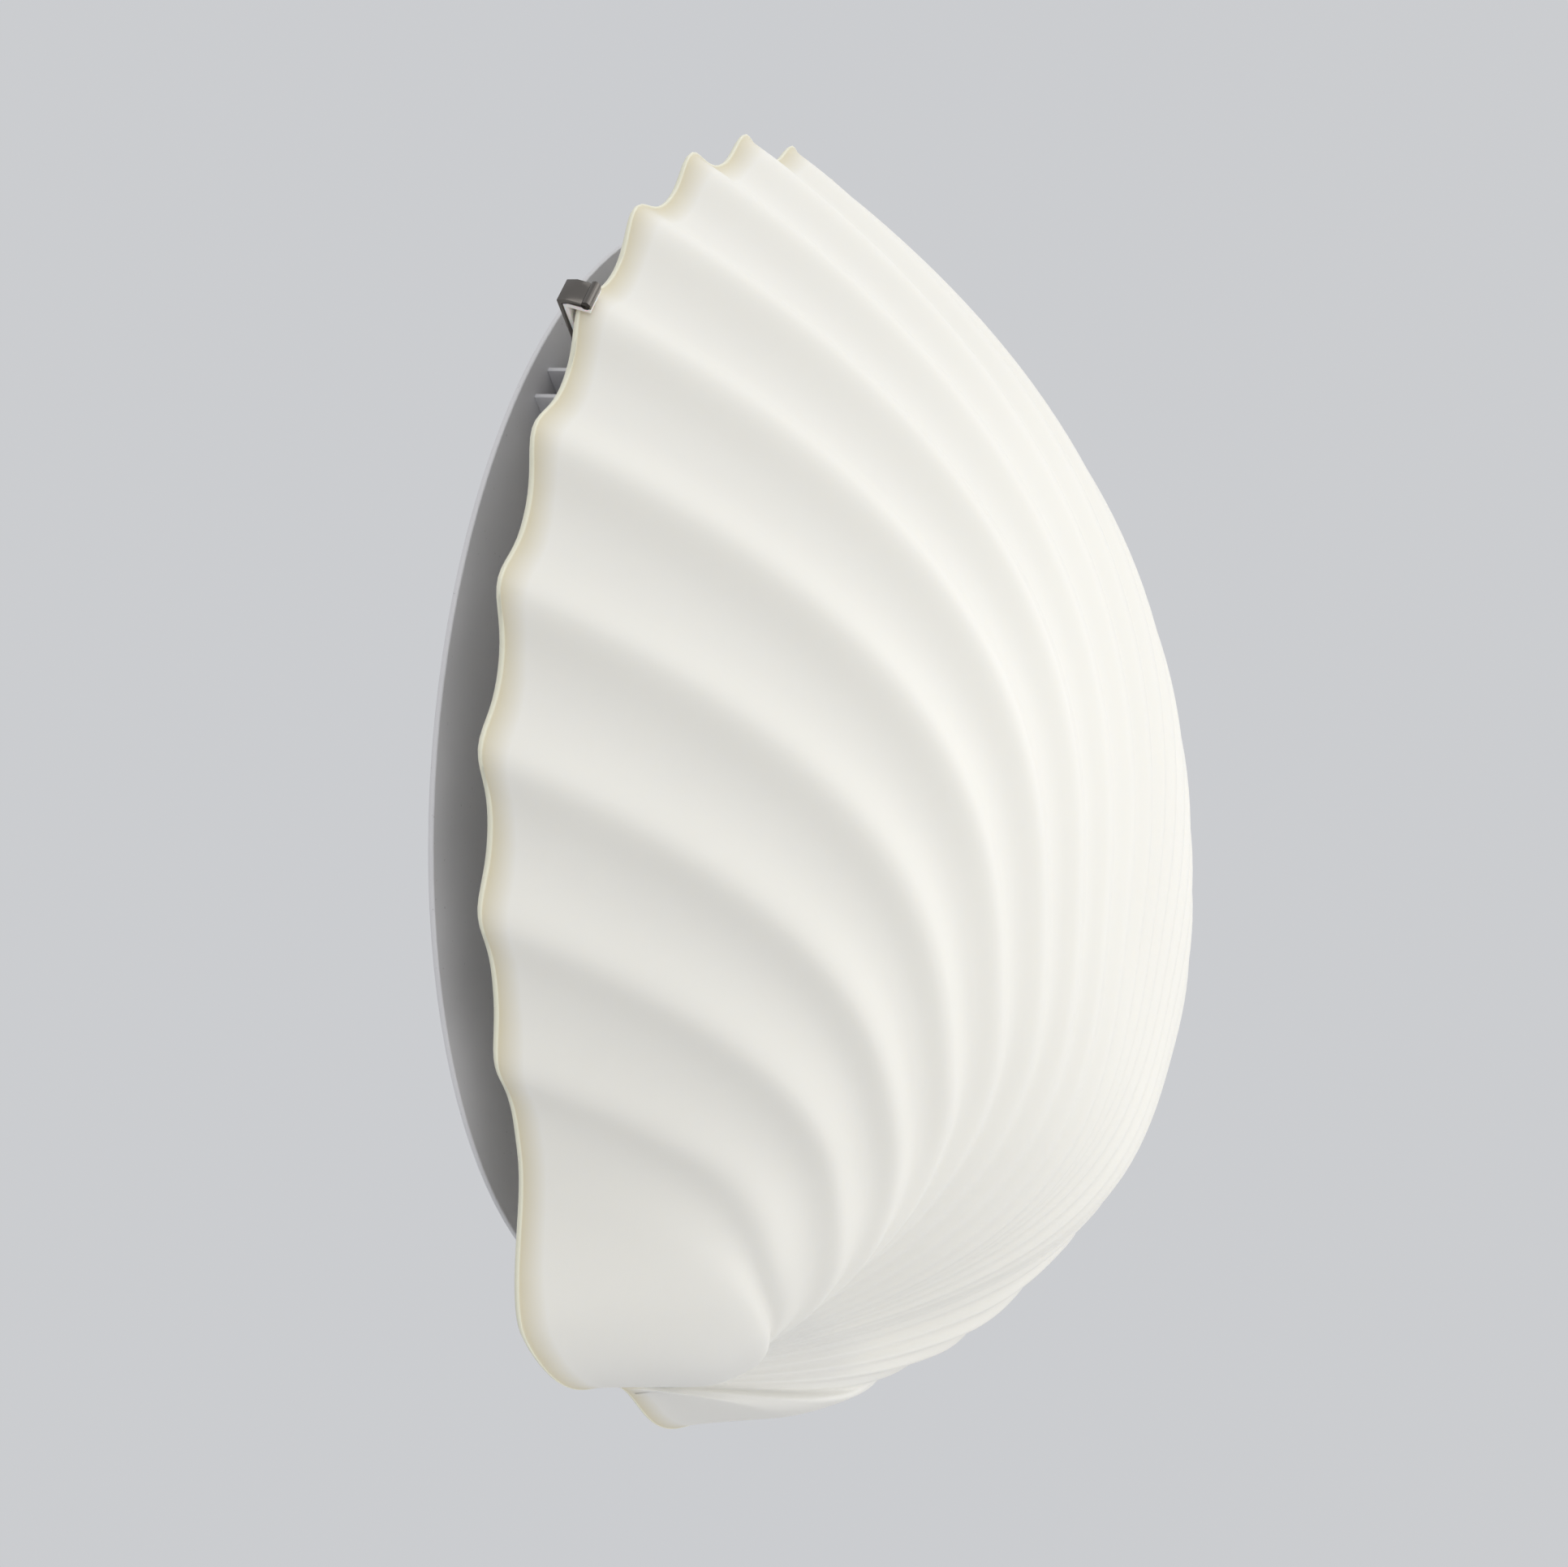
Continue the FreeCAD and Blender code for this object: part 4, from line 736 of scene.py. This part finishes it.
def opal_glass():
    """Acid-etched opal glass: milky, satin, with a bare olive band beside the polished lip."""
    material, tree, shader = new_material("opal_glass")
    if tree is None:
        return material
    hues = settings("colours")
    place = object_place(tree)
    rim = attribute(tree, RIM_ATTRIBUTE)
    clouds = wandering(noise(tree, place, GLASS_CLOUDS, 2.0))
    body = mixed(tree, clouds, shaded(hues.opal, 0.975), shaded(hues.opal, 1.02))
    ragged = rim + (noise(tree, place, BAND_RAGS, 2.0) - 0.5) * BAND_RAGGEDNESS
    band = 1.0 - spread(ragged, BAND_WHOLE, BAND_GONE, 0.0, 1.0)
    lip = 1.0 - spread(rim, LIP_WHOLE, LIP_GONE, 0.0, 1.0)
    edge = mixed(tree, band, body, tuple(hues.opal_edge))
    tree.links.new(mixed(tree, lip, edge, tuple(hues.opal_lip)), shader.inputs["Base Color"])
    satin = wandering(noise(tree, place, GLASS_SATIN), 0.46, 0.54)
    feed(tree, shader.inputs["Roughness"], satin - lip * LIP_POLISH)
    set_inputs(shader, {"IOR": 1.45, "Specular IOR Level": 0.42, "Subsurface Weight": 0.35,
                        "Subsurface Radius": (1.0, 0.95, 0.85), "Subsurface Scale": 4.0 * MM})
    bumped(tree, shader, noise(tree, place, GLASS_WAVES, 2.0), 0.15, GLASS_WAVE)
    bumped(tree, shader, noise(tree, place, GLASS_GRAIN, 2.0), 0.10, GLASS_GRIT)
    return material


def enamel():
    """Stove enamel on pressed sheet: pale grey, with fine orange peel and faint handling marks."""
    material, tree, shader = new_material("plate_enamel")
    if tree is None:
        return material
    hue = settings("colours").enamel
    place = object_place(tree)
    clouds = wandering(noise(tree, place, ENAMEL_CLOUDS, 4.0))
    body = mixed(tree, clouds, shaded(hue, 0.95), shaded(hue, 1.04))
    dust = specks(tree, place, ENAMEL_SPECKS, 0.70, 0.74)
    tree.links.new(mixed(tree, dust * 0.5, body, shaded(hue, 0.6)), shader.inputs["Base Color"])
    smears = noise(tree, object_place(tree, WIPED), ENAMEL_SMEARS, 5.0)
    feed(tree, shader.inputs["Roughness"], wandering(smears, 0.30, 0.46))
    bumped(tree, shader, noise(tree, place, ENAMEL_PEEL, 2.0), 0.25, ENAMEL_BUMP)
    return material


def metal(name, hue, rough, scratch=0.15, stain=0.12, stretch=(1.0, 1.0, 1.0)):
    """A bare or plated metal: uneven gloss, fine marks and a little staining."""
    material, tree, shader = new_material(name)
    if tree is None:
        return material
    stains = spread(noise(tree, object_place(tree), METAL_STAINS, 4.0), 0.35, 0.75, 0.0, 1.0)
    tree.links.new(mixed(tree, stains, tuple(hue), shaded(hue, 1 - stain)), shader.inputs["Base Color"])
    shader.inputs["Metallic"].default_value = 1.0
    marks = noise(tree, object_place(tree, stretch), METAL_MARKS, 3.0, 0.6)
    feed(tree, shader.inputs["Roughness"], wandering(marks, rough * 0.75, rough * 1.3))
    bumped(tree, shader, marks, scratch, METAL_BUMP)
    return material


def moulded(name, hue, rough, coat=0.0, sheer=0.0):
    """A moulded or glazed body: faint flow clouds, a soft skin and tiny pits."""
    material, tree, shader = new_material(name)
    if tree is None:
        return material
    place = object_place(tree)
    flow = noise(tree, object_place(tree, FLOWING), BODY_FLOW, 4.0)
    body = mixed(tree, wandering(flow), shaded(hue, 0.94), shaded(hue, 1.03))
    pits = specks(tree, place, BODY_PITS, 0.68, 0.74)
    tree.links.new(mixed(tree, pits * 0.4, body, shaded(hue, 0.7)), shader.inputs["Base Color"])
    feed(tree, shader.inputs["Roughness"], wandering(flow, rough * 0.88, rough * 1.12))
    set_inputs(shader, {"Coat Weight": coat, "Coat Roughness": 0.12,
                        "Subsurface Weight": sheer, "Subsurface Scale": 1.5 * MM})
    bumped(tree, shader, noise(tree, place, BODY_SKIN), 0.15, BODY_BUMP)
    return material


def striped_insulation():
    """Insulation of the earth lead: green with a yellow stripe wound along it."""
    material, tree, shader = new_material("earth_insulation")
    if tree is None:
        return material
    hues = settings("colours")
    place = object_place(tree)
    wave = tree.nodes.new("ShaderNodeTexWave")
    wave.bands_direction = "DIAGONAL"
    set_inputs(wave, {"Scale": EARTH_STRIPES, "Distortion": 0.6})
    tree.links.new(place, wave.inputs["Vector"])
    stripe = spread(Field(tree, wave.outputs["Fac"]), 0.55, 0.62, 0.0, 1.0)
    two_tone = mixed(tree, stripe, tuple(hues.earth), tuple(hues.earth_stripe))
    tree.links.new(two_tone, shader.inputs["Base Color"])
    feed(tree, shader.inputs["Roughness"], wandering(noise(tree, place, EARTH_SHEEN), 0.36, 0.5))
    return material


def lamp_coating():
    """The lamp's inner white coating seen through its thin glass."""
    material, tree, shader = new_material("lamp_coating")
    if tree is None:
        return material
    hues = settings("colours")
    place = object_place(tree)
    cloud = noise(tree, place, COATING_CLOUDS)
    coating = mixed(tree, cloud, tuple(hues.coating_thin), tuple(hues.coating_thick))
    tree.links.new(coating, shader.inputs["Base Color"])
    feed(tree, shader.inputs["Roughness"], wandering(cloud, 0.34, 0.42))
    set_inputs(shader, {"Coat Weight": 0.6, "Coat Roughness": 0.04,
                        "Subsurface Weight": 0.2, "Subsurface Scale": 1.0 * MM})
    bumped(tree, shader, noise(tree, place, COATING_SKIN, 2.0), 0.05, COATING_BUMP)
    return material


def clear_glass():
    """Clear stem glass inside the lamp."""
    material, tree, shader = new_material("clear_glass")
    if tree is None:
        return material
    hues = settings("colours")
    streaks = noise(tree, object_place(tree, LENGTHWISE), STEM_STREAKS, 2.0)
    glass = mixed(tree, streaks, tuple(hues.stem_grey), tuple(hues.stem_clear))
    tree.links.new(glass, shader.inputs["Base Color"])
    feed(tree, shader.inputs["Roughness"], wandering(streaks, 0.02, 0.06))
    shader.inputs["Transmission Weight"].default_value = 0.9
    bumped(tree, shader, noise(tree, object_place(tree), STEM_WAVES), 0.05, STEM_BUMP)
    return material


def finish_named(name):
    """The material of each slot of the record."""
    hues = settings("colours")
    makers = {
        "opal_glass": opal_glass,
        "plate_paint": enamel,
        # the clip and hooks get a darkened nickel, a painted dark reflection
        "nickel_steel": lambda: metal("polished_nickel", hues.nickel_painted_reflection, 0.13, scratch=0.10, stain=0.25),
        "zinc_steel": lambda: metal("zinc_plate", hues.zinc, 0.34, scratch=0.20, stain=0.18),
        "clear_liner": lambda: moulded("clear_liner", hues.liner, 0.36, sheer=0.3),
        "white_moulding": lambda: moulded("white_moulding", hues.moulding, 0.42),
        "porcelain": lambda: moulded("glazed_insert", hues.glaze, 0.30, coat=0.7),
        "brass": lambda: metal("bright_brass", hues.brass, 0.26, scratch=0.15, stain=0.30),
        "lamp_opal": lamp_coating,
        "cap_metal": lambda: metal("rolled_cap", hues.cap, 0.28, scratch=0.20, stain=0.15, stretch=ROLLED),
        "black_glass": lambda: moulded("dark_insulator", hues.insulator, 0.22, coat=0.5),
        "clear_glass": clear_glass,
        "tungsten": lambda: metal("drawn_wire", hues.wire, 0.45),
        "terminal_body": lambda: moulded("milky_polyamide", hues.terminal, 0.40, sheer=0.3),
        "live_insulation": lambda: moulded("brown_insulation", hues.live, 0.40),
        "neutral_insulation": lambda: moulded("blue_insulation", hues.neutral, 0.40),
        "earth_insulation": striped_insulation,
        "grommet_rubber": lambda: moulded("grommet_rubber", hues.rubber, 0.55),
    }
    return makers[name]()


# ---------------------------------------------------------------- meshes
JOIN_REACH = 0.002 * MM                      # corners of loose triangles nearer than this are one
FLAT_ANGLE = math.radians(0.4)               # faces that meet flatter than this become one
EDGE_ANGLE = math.radians(35)                # edges sharper than this are rounded
SHARP_ANGLE = math.radians(38)               # edges that stay sharper than this are shaded as edges
LIP_BAND = 0.4 * MM                          # how far back from its end a strip's lip is measured
ROLL_SIDES, SHANK_SIDES = 28, 32
HEAD_SEGMENTS, HEAD_RINGS = 40, 20


def slot_of(node):
    """The record's material slot of a CAD node."""
    for part in frame["record"]["subparts"]:
        if part["node"] == node:
            return part["material_slot"]
    raise KeyError(node)


def stand_in(piece, node):
    """Let a finished piece ride where a CAD node rides, and stand for it."""
    slot = slot_of(node)
    if not piece.data.materials:
        piece.data.materials.append(finish_named(slot))
    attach(piece, frame["nodes"][node]["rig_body"])
    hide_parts(node)


def edge_shaded(mesh):
    """Shade a mesh as one surface, apart from its sharp edges."""
    mesh.shade_smooth()
    mesh.set_sharp_from_angle(angle=SHARP_ANGLE)


def softened(node, width, segments=2):
    """A copy of a CAD node with its sharp edges rounded, which then stands for the node."""
    mesh = frame["nodes"][node].data.copy()
    shape = bmesh.new()
    shape.from_mesh(mesh)
    bmesh.ops.remove_doubles(shape, verts=shape.verts, dist=JOIN_REACH)
    bmesh.ops.dissolve_limit(shape, angle_limit=FLAT_ANGLE, verts=shape.verts, edges=shape.edges)
    whole = [edge for edge in shape.edges if edge.is_manifold]
    sharp = [edge for edge in whole if edge.calc_face_angle() > EDGE_ANGLE]
    bmesh.ops.bevel(shape, geom=sharp, offset=width, offset_type="OFFSET", segments=segments,
                    profile=0.5, affect="EDGES", clamp_overlap=False)
    bmesh.ops.triangulate(shape, faces=[face for face in shape.faces if len(face.verts) > 4])
    shape.to_mesh(mesh)
    shape.free()
    mesh.materials.clear()
    edge_shaded(mesh)
    piece = placed(node + "_finished", mesh)
    stand_in(piece, node)
    return piece


def rolled_lip(piece, radius):
    """Roll the outer end of a strip into a small bead, away from the glass."""
    mesh = piece.data
    out = min(vertex.co.y for vertex in mesh.vertices)
    end = [vertex.co.copy() for vertex in mesh.vertices if vertex.co.y < out + LIP_BAND]
    middle = sum(end, Vector()) / len(end)
    radial = Vector((middle.x, 0, middle.z)).normalized()
    across = radial.cross(Vector((0, -1, 0)))
    width = 2 * max(abs((place - middle).dot(across)) for place in end)
    seat = middle + radial * (radius * 0.5) + Vector((0, radius, 0))
    turn = Vector((0, 0, 1)).rotation_difference(across).to_matrix().to_4x4()
    shape = bmesh.new()
    shape.from_mesh(mesh)
    bmesh.ops.create_cone(shape, cap_ends=True, segments=ROLL_SIDES, radius1=radius, radius2=radius,
                          depth=width, matrix=Matrix.Translation(seat) @ turn)
    shape.to_mesh(mesh)
    shape.free()
    edge_shaded(mesh)


def spots_of(node):
    """A mesh with one point in the middle of each of a pair of rivets."""
    places = [vertex.co for vertex in frame["nodes"][node].data.vertices]
    middle = sum(places, Vector()) / len(places)
    radial = Vector((middle.x, 0, middle.z)).normalized()
    spots = []
    for side in (-1, 1):
        own = [place for place in places if (place - middle).dot(radial) * side > 0]
        x = (min(place.x for place in own) + max(place.x for place in own)) / 2
        z = (min(place.z for place in own) + max(place.z for place in own)) / 2
        spots.append((x, 0.0, z))
    mesh = bpy.data.meshes.new(node + "_spots")
    mesh.from_pydata(spots, [], [])
    return mesh


def moved_shape(tree, geometry, place, scale=(1.0, 1.0, 1.0)):
    """A shape of a node tree, scaled and then moved."""
    node = tree.nodes.new("GeometryNodeTransform")
    tree.links.new(geometry, node.inputs["Geometry"])
    tree.links.new(combined(tree, *place), node.inputs["Translation"])
    tree.links.new(combined(tree, *scale), node.inputs["Scale"])
    return node.outputs[0]


def rivet_tree(material):
    """A domed rivet on every point of the mesh that the tree is given."""
    tree = bpy.data.node_groups.new("Domed Rivets", "GeometryNodeTree")
    add_input(tree, "Geometry", "NodeSocketGeometry")
    add_inputs(tree, SconceRivets, "NodeSocketFloat")
    add_output(tree, "Geometry", "NodeSocketGeometry")
    given = tree.nodes.new("NodeGroupInput")
    sizes = inputs_of(tree, given, SconceRivets)
    head, grip = sizes["rivet_head"], sizes["rivet_grip"]
    ball = tree.nodes.new("GeometryNodeMeshUVSphere")
    set_inputs(ball, {"Segments": HEAD_SEGMENTS, "Rings": HEAD_RINGS, "Radius": 1.0})
    dome = moved_shape(tree, ball.outputs["Mesh"], (0.0, 0.0, grip), (head, head, sizes["rivet_rise"]))
    rod = tree.nodes.new("GeometryNodeMeshCylinder")
    rod.inputs["Vertices"].default_value = SHANK_SIDES
    feed(tree, rod.inputs["Radius"], sizes["rivet_radius"])
    feed(tree, rod.inputs["Depth"], grip)
    shank = moved_shape(tree, rod.outputs["Mesh"], (0.0, 0.0, grip * 0.5))
    joined = tree.nodes.new("GeometryNodeJoinGeometry")
    for part in (dome, shank):
        tree.links.new(part, joined.inputs[0])
    copies = tree.nodes.new("GeometryNodeInstanceOnPoints")
    tree.links.new(given.outputs["Geometry"], copies.inputs["Points"])
    tree.links.new(smooth_shaded(tree, joined.outputs[0]), copies.inputs["Instance"])
    copies.inputs["Rotation"].default_value = (math.radians(90), 0.0, 0.0)
    finish_tree(tree, copies.outputs[0], material)
    return tree


def riveted(node, tree):
    """The pair of rivets of one holder."""
    piece = grown(node + "_domed", tree, values_of(settings("rivets")), spots_of(node))
    piece.data.set_sharp_from_angle(angle=SHARP_ANGLE)
    stand_in(piece, node)


def dressed(node):
    """A CAD node that is kept, with the finish of its slot."""
    frame["nodes"][node].data.materials[0] = finish_named(slot_of(node))


# ---------------------------------------------------------------- operators
class SCONCE_OT_shade(bpy.types.Operator):
    """Grow the ribbed glass shade from its rule"""

    bl_idname = "sconce.shade"
    bl_label = "Glass shade"

    def execute(self, context):
        values = values_of(settings("shade")) | values_of(settings("shade_mesh"))
        piece = grown("glass_shade", shade_tree(opal_glass()), values)
        stand_in(piece, "shade")
        return {"FINISHED"}


class SCONCE_OT_plate(bpy.types.Operator):
    """Finish the wall plate and its grommet"""

    bl_idname = "sconce.plate"
    bl_label = "Wall plate"

    def execute(self, context):
        edges = settings("edges")
        softened("back_plate", edges.plate_edge, 3)
        softened("cable_grommet", edges.grommet_edge, 3)
        return {"FINISHED"}


class SCONCE_OT_holders(bpy.types.Operator):
    """Finish the sprung clip and the two fixed hooks"""

    bl_idname = "sconce.holders"
    bl_label = "Clip and hooks"

    def execute(self, context):
        edges = settings("edges")
        for node in ("clip_arm", "upper_hook", "lower_hook"):
            rolled_lip(softened(node, edges.strip_edge, 3), edges.lip_roll)
        softened("clip_bracket", edges.bracket_edge)
        for node in ("clip_liner", "upper_hook_liner", "lower_hook_liner"):
            softened(node, edges.liner_edge)
        tree = rivet_tree(finish_named("zinc_steel"))
        for node in ("clip_rivets", "upper_hook_rivets", "lower_hook_rivets"):
            riveted(node, tree)
        for node in ("clip_pin", "clip_spring"):
            dressed(node)
        return {"FINISHED"}


class SCONCE_OT_lampholder(bpy.types.Operator):
    """Finish the bracket and the lampholder"""

    bl_idname = "sconce.lampholder"
    bl_label = "Lampholder"

    def execute(self, context):
        for node in ("lamp_bracket", "bracket_screws", "bracket_nuts", "holder_base", "holder_insert",
                     "holder_sleeve", "holder_contact", "holder_skirt", "holder_ring", "holder_screw"):
            dressed(node)
        return {"FINISHED"}


class SCONCE_OT_lamp(bpy.types.Operator):
    """Finish the lamp"""

    bl_idname = "sconce.lamp"
    bl_label = "Lamp"

    def execute(self, context):
        for node in ("lamp_contact", "lamp_insulator", "lamp_cap", "lamp_glass", "lamp_stem",
                     "lamp_filament"):
            dressed(node)
        return {"FINISHED"}


class SCONCE_OT_terminals(bpy.types.Operator):
    """Finish the terminal block, the earth tag and the leads"""

    bl_idname = "sconce.terminals"
    bl_label = "Terminals and leads"

    def execute(self, context):
        for node in ("terminal_block", "terminal_clamp_screws", "terminal_fixing_screw", "terminal_nut",
                     "earth_tag", "earth_screw", "earth_nut", "live_lead", "neutral_lead", "earth_lead"):
            dressed(node)
        return {"FINISHED"}


# ---------------------------------------------------------------- stage
IMAGE_WIDTH = 1932                           # pixels
FOCAL_PIXELS = 2653                          # focal length in pixels of an image that wide
SENSOR = 36.0
NEAR_END = 10.0 * MM                         # nothing nearer to the camera is drawn
VIEW_AZIMUTH, VIEW_ELEVATION, VIEW_ROLL = math.radians(-68.0), math.radians(-20.8), math.radians(12.8)
VIEW_DISTANCE, VIEW_RIGHT, VIEW_UP = 0.511, -0.0208, 0.0041
FLOOR_LEVEL, FLOOR_REACH, FLOOR_SIDES = -0.62, 6.0, 96
LIGHT_AIM = (0.0, -0.06, 0.0)                # every light looks at this place
FRONT_PLACE, FRONT_WIDTH = (0.30, -1.30, 0.45), 1.9
TOP_PLACE, TOP_WIDTH = (-0.10, -0.55, 1.25), 1.4
SIDE_PLACE, SIDE_WIDTH = (-1.30, -0.35, 0.45), 1.4
UNDER_PLACE, UNDER_WIDTH = (-0.15, -0.45, -0.58), 0.5
PLAIN, WARM, DAYLIGHT = (1.0, 1.0, 1.0), (1.0, 0.97, 0.92), (1.0, 0.99, 0.97)


def add_camera():
    """The camera at the photograph's viewing angle."""
    back = Vector((math.sin(VIEW_AZIMUTH) * math.cos(VIEW_ELEVATION),
                   -math.cos(VIEW_AZIMUTH) * math.cos(VIEW_ELEVATION), math.sin(VIEW_ELEVATION)))
    level_right = Vector((0, 0, 1)).cross(back).normalized()
    level_up = back.cross(level_right)
    right = level_right * math.cos(VIEW_ROLL) + level_up * math.sin(VIEW_ROLL)
    up = level_up * math.cos(VIEW_ROLL) - level_right * math.sin(VIEW_ROLL)
    lens = bpy.data.cameras.new("camera")
    lens.sensor_fit = "HORIZONTAL"
    lens.sensor_width = SENSOR
    lens.lens = FOCAL_PIXELS / IMAGE_WIDTH * SENSOR
    lens.clip_start = NEAR_END
    camera = bpy.data.objects.new("camera", lens)
    place = back * VIEW_DISTANCE - right * VIEW_RIGHT - up * VIEW_UP
    turn = Matrix((right, up, back)).transposed().to_4x4()
    camera.matrix_world = Matrix.Translation(place) @ turn
    bpy.context.scene.collection.objects.link(camera)
    bpy.context.scene.camera = camera


def add_floor(hue):
    """A wide pale floor far below the light."""
    shape = bmesh.new()
    bmesh.ops.create_circle(shape, cap_ends=True, segments=FLOOR_SIDES, radius=FLOOR_REACH)
    mesh = bpy.data.meshes.new("floor")
    shape.to_mesh(mesh)
    shape.free()
    mesh.transform(Matrix.Translation((0, 0, FLOOR_LEVEL)))
    material, tree, shader = new_material("pale_floor")
    cloud = noise(tree, object_place(tree), FLOOR_CLOUDS)
    tree.links.new(mixed(tree, cloud, shaded(hue, 0.98), shaded(hue, 1.02)), shader.inputs["Base Color"])
    shader.inputs["Roughness"].default_value = 0.8
    mesh.materials.append(material)
    placed("floor", mesh)


def add_surroundings(hue, ambient):
    """A world that lights softly and shows the backdrop's colour to the camera, gloss and glass."""
    world = bpy.data.worlds.new("surroundings")
    bpy.context.scene.world = world
    world.use_nodes = True
    tree = world.node_tree
    tree.nodes.clear()
    path = tree.nodes.new("ShaderNodeLightPath")
    seen = Field(tree, path.outputs["Is Camera Ray"])
    for ray in ("Is Glossy Ray", "Is Transmission Ray"):
        seen = most(seen, Field(tree, path.outputs[ray]))
    glow = tree.nodes.new("ShaderNodeBackground")
    glow.inputs["Color"].default_value = (*DAYLIGHT, 1.0)
    glow.inputs["Strength"].default_value = ambient
    view = tree.nodes.new("ShaderNodeBackground")
    view.inputs["Color"].default_value = (*hue, 1.0)
    mix = tree.nodes.new("ShaderNodeMixShader")
    feed(tree, mix.inputs[0], seen)
    tree.links.new(glow.outputs[0], mix.inputs[1])
    tree.links.new(view.outputs[0], mix.inputs[2])
    result = tree.nodes.new("ShaderNodeOutputWorld")
    tree.links.new(mix.outputs[0], result.inputs["Surface"])


def add_softbox(name, place, width, power, tint=PLAIN):
    """A large square light that looks at the sconce."""
    light = bpy.data.lights.new(name, "AREA")
    light.size = width
    light.energy = power
    light.color = tint
    lamp = bpy.data.objects.new(name, light)
    turn = (Vector(LIGHT_AIM) - Vector(place)).to_track_quat("-Z", "Y")
    lamp.matrix_world = Matrix.Translation(place) @ turn.to_matrix().to_4x4()
    bpy.context.scene.collection.objects.link(lamp)


class SCONCE_OT_stage(bpy.types.Operator):
    """Set the floor, the surroundings, the lights and the camera"""

    bl_idname = "sconce.stage"
    bl_label = "Stage"

    def execute(self, context):
        hues, lights = settings("colours"), settings("lights")
        add_floor(hues.backdrop)
        add_surroundings(hues.backdrop, lights.ambient)
        add_softbox("front_light", FRONT_PLACE, FRONT_WIDTH, lights.key)
        add_softbox("top_light", TOP_PLACE, TOP_WIDTH, lights.top)
        add_softbox("side_light", SIDE_PLACE, SIDE_WIDTH, lights.side)
        add_softbox("under_light", UNDER_PLACE, UNDER_WIDTH, lights.under, WARM)
        add_camera()
        context.scene.view_settings.view_transform = "Standard"
        return {"FINISHED"}


# ---------------------------------------------------------------- panel and registration
OPERATORS = (SCONCE_OT_shade, SCONCE_OT_plate, SCONCE_OT_holders, SCONCE_OT_lampholder,
             SCONCE_OT_lamp, SCONCE_OT_terminals, SCONCE_OT_stage)
SETTINGS = {"shade": SconceShadeSizes, "shade_mesh": SconceShadeMesh, "rivets": SconceRivets,
            "edges": SconceEdges, "colours": SconceColours, "lights": SconceLights}


class SCONCE_PT_panel(bpy.types.Panel):
    """The sconce's settings and pieces"""

    bl_idname = "SCONCE_PT_panel"
    bl_label = "Shell Wall Sconce"
    bl_space_type = "VIEW_3D"
    bl_region_type = "UI"
    bl_category = "Sconce"

    def draw(self, context):
        for name, group in SETTINGS.items():
            column = self.layout.column(align=True)
            for prop in group.__annotations__:
                column.prop(settings(name), prop)
        for operator in OPERATORS:
            self.layout.operator(operator.bl_idname)


def register():
    for group in SETTINGS.values():
        bpy.utils.register_class(group)
    for name, group in SETTINGS.items():
        setattr(bpy.types.Scene, "sconce_" + name, PointerProperty(type=group))
    for operator in OPERATORS:
        bpy.utils.register_class(operator)
    bpy.utils.register_class(SCONCE_PT_panel)


def unregister():
    bpy.utils.unregister_class(SCONCE_PT_panel)
    for operator in reversed(OPERATORS):
        bpy.utils.unregister_class(operator)
    for name in SETTINGS:
        delattr(bpy.types.Scene, "sconce_" + name)
    for group in reversed(list(SETTINGS.values())):
        bpy.utils.unregister_class(group)


def main():
    """Build every piece and the stage."""
    register()
    bpy.ops.sconce.shade()
    bpy.ops.sconce.plate()
    bpy.ops.sconce.holders()
    bpy.ops.sconce.lampholder()
    bpy.ops.sconce.lamp()
    bpy.ops.sconce.terminals()
    bpy.ops.sconce.stage()


if __name__ == "__main__":
    main()
